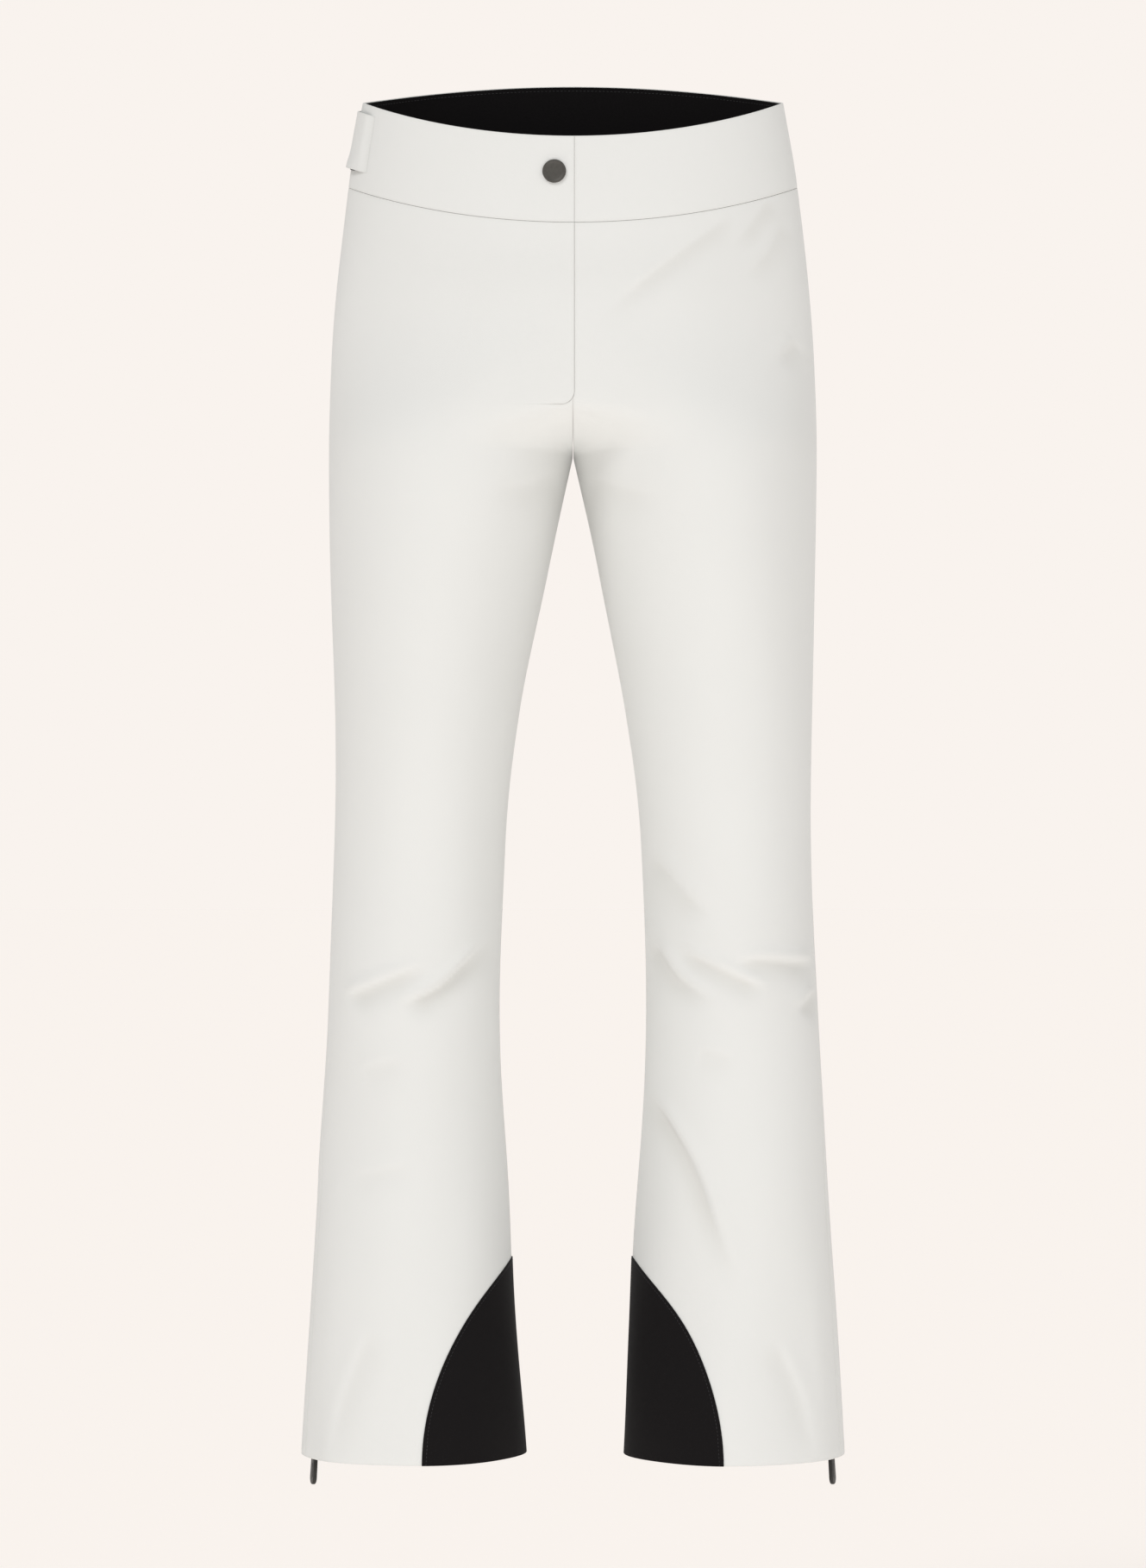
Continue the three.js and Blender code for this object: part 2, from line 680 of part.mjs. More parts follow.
// Heights are measured outwards from the skin, so a depth is a negative height.
function snap() {
  const group = frontFrame(SNAP_X, -SNAP_DROP, 0);
  const r = SNAP_RADIUS;
  const cap = lathe([[0, 0.3], [r - 0.6, 0.3], [r, 0.9], [r - 0.4, 1.6], [r - 2, 2.1], [0, 2.3]]);
  addTo(group, "snap_cap", cap, METAL);
  const socketTop = -FLAP_LINING_DEPTH - LINING - LAYER_GAP;
  const socket = lathe([
    [2.6, socketTop - 1.4],
    [6.5, socketTop - 1.4],
    [6.5, socketTop],
    [2.6, socketTop],
    [2.6, socketTop - 1.4],
  ]);
  addTo(group, "snap_socket", socket, METAL);
  const flange = -UNDERLAP_DEPTH + LAYER_GAP;
  const stud = lathe([
    [0, flange],
    [6, flange],
    [6, flange + 0.6],
    [1.7, flange + 0.6],
    [1.7, flange + 1.1],
    [2, flange + 1.5],
    [1.6, flange + 1.9],
    [0, flange + 2],
  ]);
  addTo(group, "snap_stud", stud, METAL);
  const back = -UNDERLAP_DEPTH - CLOTH - LAYER_GAP;
  addTo(group, "snap_stud_back", lathe([[0, back - 0.8], [5, back - 0.8], [6, back], [0, back]]), METAL);
}

// ---- Waist adjuster tabs ----
// A strip round the waistband from a root angle towards the back, at a given depth outside it.
function bandStrip(side, rootAngle, from, to, near, far, trim) {
  const girth = 105;
  const columns = 8;
  const pointAt = (u, v, depth) => {
    const level = -TAB_DROP - trim - (TAB_TALL - 2 * trim) * v;
    const along = from + (to - from) * u;
    return skinAt(side, level, rootAngle - along / girth, depth);
  };
  return sheet(pointAt, columns, 2, near, far);
}

function adjusters() {
  const roots = { right: RIGHT_TAB_ANGLE, left: LEFT_TAB_ANGLE };
  for (const { side, word } of SIDES) {
    const rootAngle = roots[word];
    const tab = bandStrip(side, rootAngle, 0, TAB_LONG, -1.75 - TAB_CLOTH, -1.75, 0);
    add(`waist_tab_${word}`, tab, SHELL);
    const hook = bandStrip(side, rootAngle, TAB_LONG - 30, TAB_LONG - 3, -1.5, -1, 4);
    add(`tab_hook_patch_${word}`, hook, DARK_TAPE);
    const loop = bandStrip(side, rootAngle, 6, TAB_LONG + 4, -0.8, -0.35, 3);
    add(`tab_loop_patch_${word}`, loop, DARK_TAPE);
  }
}

// ---- Ankle guards ----
const GUARD_COLUMNS = 16;
const GUARD_ROWS = 8;
const GUARD_CLEAR = 1; // above the shell's flat facets

function ankleGuards() {
  for (const { side, word } of SIDES) {
    const pointAt = (u, v, depth) => {
      const height = GUARD_HEIGHT * Math.sin((v * Math.PI) / 2) * 0.998;
      const half = GUARD_HALF_ANGLE * Math.sqrt(1 - (height / GUARD_HEIGHT) ** 2);
      const turn = half * (2 * u - 1);
      const angle = turn > 0 ? Math.PI - turn : -Math.PI - turn;
      return skinAt(side, HEM_Z + height, angle, depth);
    };
    const shape = sheet(pointAt, GUARD_COLUMNS, GUARD_ROWS, -GUARD_CLEAR - GUARD_CLOTH, -GUARD_CLEAR);
    add(`ankle_guard_${word}`, shape, BLACK_CLOTH);
  }
}

// ---- Hem zips ----
const SLIDER_TALL = 10;
const SLIDER_WIDTH = 9;
const SLIDER_RISE = 2; // slider's foot above the hem when the zip is shut
const BAIL_REACH = 4;
const PIN = 1;

// A strip beside the outseam, from one distance to another along the skin.
function hemStrip(side, face, from, to, bottom, top, depthAt, thick, rows) {
  const pointAt = (u, v, share) => {
    const along = from + (to - from) * u;
    const level = HEM_Z + bottom + (top - bottom) * v;
    return skinAt(side, level, besideOutseam(level, face, along), depthAt(along) + thick * share);
  };
  return sheet(pointAt, 5, rows, 0, 1);
}

const hemDepth = HEM_TAPE_DEPTH + TAPE / 2;

function hemFrame(side) {
  return skinFrame(side, HEM_Z + SLIDER_RISE + SLIDER_TALL / 2, HEM_ZIP_TURN, hemDepth);
}

// The slider carries a bail on its inner plate, and the puller hangs on the bail's pin.
const BAIL_PIN_DEPTH = PLATE_GAP / 2 + SLIDER_PLATE + BAIL_REACH - PIN;
const EAR = 1.2;

function hemSlider() {
  const inner = -PLATE_GAP / 2 - SLIDER_PLATE;
  const earX = PULLER_NECK / 2 + 2 * LAYER_GAP + EAR / 2;
  const ears = [-1, 1].map((end) =>
    box(EAR, BAIL_REACH + LAYER_GAP, 2.6, end * earX, inner - BAIL_REACH / 2 + LAYER_GAP / 2, 0),
  );
  const pin = box(2 * earX, PIN, PIN, 0, -BAIL_PIN_DEPTH, 0);
  return joined(sliderBody(SLIDER_WIDTH, SLIDER_TALL), ...ears, pin);
}

const PULLER_NECK = 4.4;

function pullerShape() {
  const outline = new THREE.Shape();
  const low = -PULLER_LENGTH + PULLER_WIDTH / 2;
  outline.moveTo(-PULLER_NECK / 2, 2.2);
  outline.lineTo(-PULLER_NECK / 2, -2);
  outline.lineTo(-PULLER_WIDTH * 0.42, -7);
  outline.lineTo(-PULLER_WIDTH / 2, low);
  outline.absarc(0, low, PULLER_WIDTH / 2, Math.PI, 2 * Math.PI, false);
  outline.lineTo(PULLER_WIDTH * 0.42, -7);
  outline.lineTo(PULLER_NECK / 2, -2);
  outline.lineTo(PULLER_NECK / 2, 2.2);
  const plate = new THREE.ExtrudeGeometry(outline, {
    depth: PULLER_THICKNESS,
    bevelEnabled: false,
    curveSegments: 8,
  });
  plate.rotateX(Math.PI / 2).translate(0, PULLER_THICKNESS / 2, 0);
  const hole = box(12, PIN + 2 * LAYER_GAP, PIN + 2 * LAYER_GAP, 0, 0, 0);
  return solid(plate).subtract(solid(hole));
}

function hemZips() {
  const chainDepth = easedDepth(11, 5, SEWN_DEPTH, HEM_TAPE_DEPTH);
  const edge = ZIP_GAP / 2;
  for (const { side, word } of SIDES) {
    for (const { face, word: faceWord } of FACES) {
      const tape = hemStrip(side, face, edge, HEM_TAPE_WIDTH, 1, HEM_ZIP, chainDepth, TAPE, 5);
      add(`hem_zip_tape_${faceWord}_${word}`, tape, DARK_TAPE);
    }
    const stopFrame = skinFrame(side, HEM_Z + HEM_ZIP + 2.5, HEM_ZIP_TURN, hemDepth);
    addTo(stopFrame, `hem_zip_top_stop_${word}`, box(6, 1.4, 4, 0, 0, 0), METAL);
    const group = hemFrame(side);
    addTo(group, `hem_zip_slider_${word}`, hemSlider(), METAL);
    const puller = addTo(group, `hem_zip_puller_${word}`, geometryOf(pullerShape()), DARK_METAL);
    puller.position.set(0, -BAIL_PIN_DEPTH, 0);
  }
}


// ---- Snow gaiters ----
const GAITER_COLUMNS = 20;

function legRing(side, level, share, depth) {
  const turn = (share * 2 - 1) * Math.PI;
  return skinAt(side, level, turn, depth);
}

function gaiterDepth(height) {
  const drawn = 1 - smoothstep(GAITER_WAIST, GAITER_TOP, height);
  return GAITER_SEWN_DEPTH + (GAITER_INSET - GAITER_SEWN_DEPTH) * drawn;
}

function gaiters() {
  for (const { side, word } of SIDES) {
    const cloth = (u, v, depth) => {
      const height = GAITER_TOP + (GAITER_BOTTOM + ELASTIC_HEIGHT - GAITER_TOP) * v;
      return legRing(side, HEM_Z + height, u, gaiterDepth(height) + depth);
    };
    add(`snow_gaiter_${word}`, sheet(cloth, GAITER_COLUMNS, 5, 0, LINING, true), LINING_CLOTH);
    const band = (u, v, depth) => {
      const height = GAITER_BOTTOM + (ELASTIC_HEIGHT - LAYER_GAP) * v;
      return legRing(side, HEM_Z + height, u, GAITER_INSET + depth);
    };
    add(`gaiter_elastic_${word}`, sheet(band, GAITER_COLUMNS, 1, 0, 1.4, true), RUBBERY);
  }
}

bodyPanels();
bodyLinings();
waistband();
flyFlap();
bandOverlap();
bandUnderlap();
flyZip();
flySlider();
snap();
adjusters();
ankleGuards();
hemZips();
gaiters();

export default root;
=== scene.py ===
"""Women's flared ski pants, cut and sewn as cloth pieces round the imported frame.

Shapes are worked out in millimetres on one shared skin and become metres when a mesh is made.
The front faces -Y and the wearer's right leg is at -X. A depth is measured inwards from the
skin, so a negative depth lies outside it.
"""
import sys
import logging
import math
from collections.abc import Callable
from dataclasses import dataclass, field
from enum import Enum

import bpy
import numpy as np
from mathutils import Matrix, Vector


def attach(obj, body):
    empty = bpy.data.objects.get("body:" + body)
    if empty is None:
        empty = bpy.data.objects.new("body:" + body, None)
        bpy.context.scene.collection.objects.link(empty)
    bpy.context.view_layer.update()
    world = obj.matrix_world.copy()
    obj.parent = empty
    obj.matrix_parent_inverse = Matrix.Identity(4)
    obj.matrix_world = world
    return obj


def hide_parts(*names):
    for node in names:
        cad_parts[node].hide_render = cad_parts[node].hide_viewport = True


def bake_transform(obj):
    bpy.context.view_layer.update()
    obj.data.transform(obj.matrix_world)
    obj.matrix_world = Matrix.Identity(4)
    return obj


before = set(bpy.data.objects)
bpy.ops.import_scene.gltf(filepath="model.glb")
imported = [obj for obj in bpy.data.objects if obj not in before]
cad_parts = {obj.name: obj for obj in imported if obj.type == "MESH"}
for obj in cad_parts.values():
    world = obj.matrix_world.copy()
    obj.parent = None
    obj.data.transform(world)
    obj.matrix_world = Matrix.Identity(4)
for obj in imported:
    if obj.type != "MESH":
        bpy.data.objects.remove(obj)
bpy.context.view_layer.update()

log = logging.getLogger("ski_pants")
MM = 0.001
Array = np.ndarray


class Side(Enum):
    """A leg, by the sign of X on its side."""

    RIGHT = -1
    LEFT = 1

    @property
    def word(self) -> str:
        """The side's name in piece names."""
        return self.name.lower()


class Face(Enum):
    """The front or the back of a leg, by the sign of its angles."""

    FRONT = 1
    BACK = -1

    @property
    def word(self) -> str:
        """The face's name in piece names."""
        return self.name.lower()


class Unit(Enum):
    """The small shape that a row repeats."""

    STITCH = "stitch"
    TOOTH = "tooth"
    HOOK = "hook"


# ---- Skin ----
def smoothstep(low: float, high: float, value: Array) -> Array:
    """Eases from 0 at low to 1 at high.

    Args:
        low: Where the result is 0.
        high: Where the result is 1.
        value: The values to ease.

    Returns:
        The eased values.
    """
    t = np.clip((value - low) / (high - low), 0, 1)
    return t * t * (3 - 2 * t)


@dataclass(frozen=True)
class Profile:
    """A smooth curve through (height, value) points listed from high to low, without overshoot."""

    points: tuple[tuple[float, float], ...]

    def slopes(self) -> Array:
        """The curve's slope at each point: harmonic means inside, plain secants at the ends."""
        heights, values = np.array(self.points, float).T
        secant = np.diff(values) / np.diff(heights)
        before, after = secant[:-1], secant[1:]
        product = before * after
        total = np.where(product > 0, before + after, 1)
        inside = np.where(product > 0, 2 * product / total, 0)
        return np.concatenate([secant[:1], inside, secant[-1:]])

    def __call__(self, z: Array) -> Array:
        """The curve's value at each height.

        Args:
            z: Heights.

        Returns:
            The values, carried on in a straight line past both ends.
        """
        z = np.asarray(z, float)
        heights, values = np.array(self.points, float).T
        slope = self.slopes()
        i = (z[..., None] < heights[1:-1]).sum(-1)
        span = heights[i + 1] - heights[i]
        t = np.clip((z - heights[i]) / span, 0, 1)
        square, cube = t * t, t * t * t
        start = values[i] * (2 * cube - 3 * square + 1) + slope[i] * span * (cube - 2 * square + t)
        end = values[i + 1] * (3 * square - 2 * cube) + slope[i + 1] * span * (cube - square)
        above = np.minimum((z - heights[i]) / span, 0) * span * slope[i]
        below = np.maximum((z - heights[i + 1]) / span, 0) * span * slope[i + 1]
        return start + end + above + below


FOLD_POINTS = 25
FOLD_SMOOTHING = 12  # passes that round the corners of a crease's path
FOLD_REACH = 7  # how far a crease is felt, in widths
RIDGE_AT = 1.9  # distance of its ridge above it, in widths
RIDGE_WIDTH = 1.5


@dataclass(frozen=True)
class Fold:
    """A crease in one face along a few (x, z) points: a steep upper side, an easy lower one."""

    path: tuple[tuple[float, float], ...]
    width: float
    deep: float
    face: Face = Face.FRONT
    lower: float = 3.2
    ridge: float = 0.6

    def samples(self) -> Array:
        """The path as a smooth line of points."""
        knots = np.array(self.path, float)
        at = np.linspace(0, len(knots) - 1, FOLD_POINTS)
        line = np.stack([np.interp(at, range(len(knots)), knots[:, k]) for k in (0, 1)], 1)
        for _ in range(FOLD_SMOOTHING):
            line[1:-1] = (line[:-2] + 2 * line[1:-1] + line[2:]) / 4
        return line

    def height(self, x: Array, z: Array) -> Array:
        """How far the crease lifts the cloth at each place.

        Args:
            x: Distances from the centre line.
            z: Heights.

        Returns:
            Lifts in millimetres, negative in the crease.
        """
        line = self.samples()
        lift = np.zeros_like(x)
        reach = FOLD_REACH * self.width
        low, high = line.min(0) - reach, line.max(0) + reach
        near = (x > low[0]) & (x < high[0]) & (z > low[1]) & (z < high[1])
        if not near.any():
            return lift
        place = np.stack([x[near], z[near]], 1)[:, None]
        step = line[1:] - line[:-1]
        length = np.linalg.norm(step, axis=1)
        share = ((place - line[:-1]) * step).sum(-1) / length**2
        share = np.clip(share, 0, 1)
        gap = place - (line[:-1] + share[..., None] * step)
        distance = np.linalg.norm(gap, axis=-1)
        best = distance.argmin(1)
        rows = np.arange(len(best))
        turn = step[best, 0] * gap[rows, best, 1] - step[best, 1] * gap[rows, best, 0]
        above = math.copysign(1, line[-1, 0] - line[0, 0])
        offset = distance[rows, best] * np.sign(turn) * above
        along = (best + share[rows, best]) / len(step)
        taper = smoothstep(0, 0.2, along) * (1 - smoothstep(0.55, 1, along))
        width = np.where(offset > 0, self.width, self.lower * self.width)
        hollow = np.exp(-((offset / width) ** 2))
        past_ridge = offset - RIDGE_AT * self.width
        ridge = np.exp(-((past_ridge / (RIDGE_WIDTH * self.width)) ** 2))
        lift[near] = self.deep * (self.ridge * ridge - hollow) * taper
        return lift


@dataclass(frozen=True)
class Skin:
    """The surface that every cloth layer follows, with the sizes that the pattern is cut to."""

    rise: float = 272
    inseam: float = 762
    waist_half: float = 161
    hip_half: float = 187
    knee_half: float = 182
    hem_half: float = 208.3
    waist_front: float = 92.5
    belly_front: float = 109
    knee_gap: float = 56
    hem_gap: float = 39.4
    front_dip: float = 37
    back_lift: float = 24
    band_height: float = 65
    band_fade: float = 110
    merge_height: float = 110
    bridging: float = 0.9
    seam_gap: float = 0.12
    zip_height: float = 168
    zip_turn: float = math.radians(18)
    outseam_swing: float = 350

    @property
    def crotch_z(self) -> float:
        """Height of the crotch."""
        return -self.rise

    @property
    def hem_z(self) -> float:
        """Height of the hem."""
        return -self.rise - self.inseam

    def torso(self, share: float) -> float:
        """Height at a share of the way from the waist to the crotch."""
        return -self.rise * share

    def leg(self, share: float) -> float:
        """Height at a share of the way from the crotch to the hem."""
        return self.crotch_z - self.inseam * share

    def front_line(self, share: float) -> float:
        """The straight line that the front falls in behind the fly."""
        return -self.waist_front - (self.belly_front - self.waist_front) * share

    def outseam_at(self, z: Array) -> Array:
        """Distance of the outseam from the centre line."""
        return Profile((
            (0, self.waist_half),
            (self.torso(0.24), self.waist_half + 11),
            (self.torso(0.735), self.hip_half - 2),
            (self.crotch_z, self.hip_half),
            (self.leg(0.345), self.knee_half),
            (self.leg(0.56), self.knee_half + 6),
            (self.hem_z, self.hem_half),
        ))(z)

    def gap_at(self, z: Array) -> Array:
        """Half the space between the legs."""
        return Profile((
            (self.crotch_z, self.seam_gap / 2),
            (self.leg(0.115), self.knee_gap * 0.35),
            (self.leg(0.253), self.knee_gap * 0.72),
            (self.leg(0.39), self.knee_gap * 0.93),
            (self.leg(0.52), self.knee_gap),
            (self.leg(0.73), (self.knee_gap + self.hem_gap) / 2 + 2),
            (self.hem_z, self.hem_gap),
        ))(z)

    def front_at(self, z: Array) -> Array:
        """Y of the front's middle."""
        return Profile((
            (self.torso(-0.1), self.front_line(-0.1)),
            (self.torso(0.4), self.front_line(0.4)),
            (self.torso(0.8), self.front_line(0.8)),
            (self.torso(0.9), self.front_line(0.9)),
            (self.crotch_z, self.front_line(0.91)),
            (self.leg(0.08), -103),
            (self.leg(0.23), -88.5),
            (self.leg(0.46), -73),
            (self.leg(0.64), -73.5),
            (self.hem_z, -82),
        ))(z)

    def back_at(self, z: Array) -> Array:
        """Y of the back's middle."""
        return Profile((
            (self.torso(-0.09), 97),
            (self.torso(0.24), 111),
            (self.torso(0.66), 125),
            (self.crotch_z, 121),
            (self.leg(0.12), 108),
            (self.leg(0.28), 92),
            (self.leg(0.46), 81),
            (self.leg(0.67), 84),
            (self.hem_z, 90),
        ))(z)

    def side_at(self, z: Array) -> Array:
        """Y of the side's widest line."""
        return Profile((
            (self.torso(-0.09), 4),
            (self.torso(0.73), 8),
            (self.crotch_z, 10),
            (self.leg(0.46), 4),
            (self.hem_z, 5),
        ))(z)

    def section(self, z: Array) -> tuple[Array, ...]:
        """One leg's oval at each height, grown across the centre line above the crotch.

        Args:
            z: Heights.

        Returns:
            Centre, half width, reach to the front, reach to the back, side Y and bridging.
        """
        outer = self.outseam_at(z)
        t = np.clip((z - self.crotch_z) / self.merge_height, 0, 1)
        start = 0.25 * self.merge_height / outer
        merged = t * t * (3 - 2 * t) + start * (t**3 - 2 * t * t + t)
        half_gap = self.seam_gap / 2
        inner = np.where(t > 0, half_gap - (outer + half_gap) * merged, self.gap_at(z))
        side = self.side_at(z)
        bridging = self.bridging * smoothstep(0, 0.33, t)
        front, back = side - self.front_at(z), self.back_at(z) - side
        return (outer + inner) / 2, (outer - inner) / 2, front, back, side, bridging

    def tilt(self, angle: Array, level: Array) -> Array:
        """How far the waist's curve moves a row down at the front and up at the back."""
        fade = smoothstep(-self.band_height - self.band_fade, -self.band_height, level)
        turn = np.abs(np.sin(angle))
        front = -self.front_dip * (0.7 * turn * turn + 0.3 * turn)
        back = self.back_lift * (0.47 * turn * turn + 0.53 * turn)
        return np.where(angle >= 0, front, back) * fade

    def point(self, side: Array, level: Array, angle: Array) -> Array:
        """Points of the skin.

        Args:
            side: Sign of X on the leg's side.
            level: The height that the row has at the outseam.
            angle: 0 at the outseam, pi at the inseam by the front, -pi by the back.

        Returns:
            Points, as an array with a last axis of three.
        """
        side, level, angle = np.broadcast_arrays(side, level, angle)
        z = level + self.tilt(angle, level)
        centre, half, front, back, middle, bridging = self.section(z)
        reach = np.where(angle >= 0, -front, back)
        turn = np.abs(np.sin(angle))
        spanned = np.where(np.cos(angle) < 0, bridging * (1 - turn), 0)
        x = centre + half * np.cos(angle)
        return np.stack([side * x, middle + reach * (turn + spanned), z], -1)

    def outward(self, side: Array, level: Array, angle: Array) -> Array:
        """Unit normals of the skin, pointing out of the cloth."""
        side, level, angle = np.broadcast_arrays(side, level, angle)
        across = self.point(side, level, angle + 1e-3) - self.point(side, level, angle - 1e-3)
        up = self.point(side, level + 0.2, angle) - self.point(side, level - 0.2, angle)
        normal = np.cross(across, up)
        normal /= np.linalg.norm(normal, axis=-1, keepdims=True)
        return normal * -side[..., None]

    def last_angle(self, level: Array, face: Face) -> Array:
        """The angle where a panel ends, at the centre line or at the inseam."""
        z = level + self.tilt(face.value * math.pi / 2, level)
        centre, half, front, back, _, _ = self.section(z)
        cosine = (self.seam_gap / 2 - centre) / half
        reach = front if face is Face.FRONT else back
        inseam = math.pi - self.seam_gap / 2 / reach
        across = np.arccos(np.clip(cosine, -1, 1))
        return np.where(cosine <= -1, inseam, np.minimum(across, inseam))

    def outseam_angle(self, level: Array) -> Array:
        """The outseam's own angle, swung forward by the hem zip."""
        top = self.hem_z + self.zip_height
        return self.zip_turn * (1 - smoothstep(top, top + self.outseam_swing, level))

    def beside_outseam(self, level: Array, face: Face, distance: float) -> Array:
        """The angle at a distance from the outseam, towards one face."""
        _, half, front, back, _, _ = self.section(level)
        seam = self.outseam_angle(level)
        reach = np.where((seam > 0) | (face is Face.FRONT), front, back)
        speed = np.hypot(half * np.sin(seam), reach * np.cos(seam))
        return seam + face.value * distance / speed

    def angle_at_x(self, level: Array, x: Array) -> Array:
        """The front angle at which the skin lies a given distance from the centre line."""
        level, x = np.broadcast_arrays(np.asarray(level, float), np.asarray(x, float))
        low, high = np.zeros(level.shape), np.full(level.shape, math.pi * 0.9)
        for _ in range(34):
            middle = (low + high) / 2
            beyond = self.point(1, level, middle)[..., 0] > x
            low, high = np.where(beyond, middle, low), np.where(beyond, high, middle)
        return low


@dataclass(frozen=True)
class Drape:
    """How the cloth lies on the skin: its creases and broad waves, and where it is held flat."""

    skin: Skin
    folds: tuple[Fold, ...]
    wave: float = 0.55

    def waves(self, point: Array) -> Array:
        """Broad, soft unevenness, stronger on the loose lower legs."""
        x, y, z = point[..., 0], point[..., 1], point[..., 2]
        slow = np.sin(x / 23 + z / 61 + 1.3) + np.sin(z / 37 - y / 29 + x / 90 + 0.4)
        quick = np.sin(x / 11 - z / 47 + 2.1) + np.sin(y / 13 + z / 33 + 0.9)
        loose = 0.6 + 0.9 * smoothstep(-560, -950, z)
        return self.wave * (slow + 0.45 * quick) * loose

    def flare(self, side: Array, angle: Array, point: Array) -> Array:
        """The soft upright folds that the flared hem falls in."""
        drop = smoothstep(-860, -1020, point[..., 2])
        phase = 5 * angle + 0.7 * side + point[..., 2] / 140
        return 1.6 * drop * np.sin(phase)

    def held(self, side: Array, level: Array, angle: Array, point: Array) -> Array:
        """1 where the cloth is free and 0 where a zip, the fly or the waistband holds it flat."""
        x, z = point[..., 0], point[..., 2]
        beside = np.maximum(np.maximum(-50 - x, x - 24), 0)
        past_fly = np.maximum(smoothstep(0, 30, beside), smoothstep(-258, -300, z))
        past_fly = np.maximum(past_fly, (angle < 0).astype(float))
        off_zip = np.abs(angle - self.skin.outseam_angle(level)) * 95
        over_zip = smoothstep(self.skin.hem_z + 172, self.skin.hem_z + 230, z)
        past_zip = np.maximum(smoothstep(17, 48, off_zip), over_zip)
        below_band = smoothstep(-70, -150, level)
        return past_fly * past_zip * below_band

    def creases(self, angle: Array, point: Array) -> Array:
        """How far the creases alone move the cloth."""
        facing = {
            Face.FRONT: smoothstep(0.05, 0.4, np.sin(angle)),
            Face.BACK: smoothstep(0.05, 0.4, -np.sin(angle)),
        }
        total = np.zeros(point.shape[:-1])
        for fold in self.folds:
            total += fold.height(point[..., 0], point[..., 2]) * facing[fold.face]
        return total

    def lift(self, side: Array, level: Array, angle: Array, point: Array) -> Array:
        """How far the cloth stands out of the skin at each place."""
        total = self.waves(point) + self.flare(side, angle, point) + self.creases(angle, point)
        return total * self.held(side, level, angle, point)

    def shade(self, side: Array, level: Array, angle: Array) -> Array:
        """1 in the bottom of a deep crease and 0 on plain cloth: how much painted shade the cloth
        gets there.
        """
        side, level, angle = np.broadcast_arrays(side, level, angle)
        point = self.skin.point(side, level, angle)
        return np.clip(-self.creases(angle, point) / 3, 0, 1)

    def at(self, side: Array, level: Array, angle: Array, depth: Array) -> Array:
        """Points at a depth below the draped cloth's outer surface."""
        side, level, angle, depth = np.broadcast_arrays(side, level, angle, depth)
        point = self.skin.point(side, level, angle)
        rise = self.lift(side, level, angle, point) - depth
        return point + self.skin.outward(side, level, angle) * rise[..., None]


FOLDS = (
    # wearer's right knee
    Fold(((-173, -686), (-138, -671), (-105, -658)), 3.4, 2.9),
    Fold(((-130, -691), (-99, -678), (-79, -658), (-56, -636)), 3.4, 3.4),
    Fold(((-161, -740), (-122, -729)), 4, 0.6),
    Fold(((-170, -822), (-138, -813), (-112, -811)), 4, 0.5),
    # wearer's left knee
    Fold(((56, -575), (83, -608), (104, -626)), 4.5, 1.6),
    Fold(((58, -641), (76, -671), (107, -689)), 3.6, 2.6),
    Fold(((76, -647), (126, -671), (149, -679)), 3.2, 2.6),
    Fold(((188, -660), (142, -656), (117, -660)), 3.6, 2.3),
    Fold(((188, -680), (170, -697)), 3.6, 2.0),
    Fold(((93, -724), (124, -731)), 4, 0.7),
    Fold(((54, -755), (76, -787), (94, -818), (106, -862), (127, -906)), 3.6, 3.1),
    # wearer's left hip
    Fold(((124, -92), (72, -132), (14, -181)), 3.2, 1.8),
    Fold(((150, -79), (136, -100), (121, -121)), 3.4, 1.7),
    Fold(((160, -96), (150, -122), (128, -146)), 3.6, 1.2),
    Fold(((172, -186), (164, -196), (154, -207)), 4, 1.2),
    # pulls that run out from the crotch
    Fold(((-10, -289), (-34, -300), (-66, -306)), 5, 0.9),
    Fold(((10, -291), (38, -304), (70, -312)), 5, 0.9),
    # the loose outer hems
    Fold(((150, -938), (172, -985), (181, -1040)), 4, 1.1),
    Fold(((-150, -930), (-172, -985), (-182, -1040)), 4, 0.9),
    # under the seat and behind the knees
    Fold(((-22, -298), (-70, -314), (-130, -306)), 4.5, 1.9, Face.BACK),
    Fold(((22, -298), (72, -316), (132, -309)), 4.5, 1.9, Face.BACK),
    Fold(((-32, -324), (-82, -342), (-128, -340)), 5, 1.2, Face.BACK),
    Fold(((30, -326), (80, -345), (126, -341)), 5, 1.2, Face.BACK),
    Fold(((-70, -610), (-118, -628), (-166, -618)), 4.2, 2.0, Face.BACK),
    Fold(((68, -616), (116, -630), (168, -622)), 4.2, 2.0, Face.BACK),
    Fold(((-74, -654), (-120, -664), (-164, -650)), 4.5, 1.5, Face.BACK),
    Fold(((72, -660), (118, -667), (160, -655)), 4.5, 1.5, Face.BACK),
    Fold(((-84, -780), (-120, -850), (-130, -930)), 5.5, 1.4, Face.BACK),
    Fold(((86, -770), (118, -840), (140, -920)), 5.5, 1.4, Face.BACK),
)
SKIN = Skin()
DRAPE = Drape(SKIN, FOLDS)


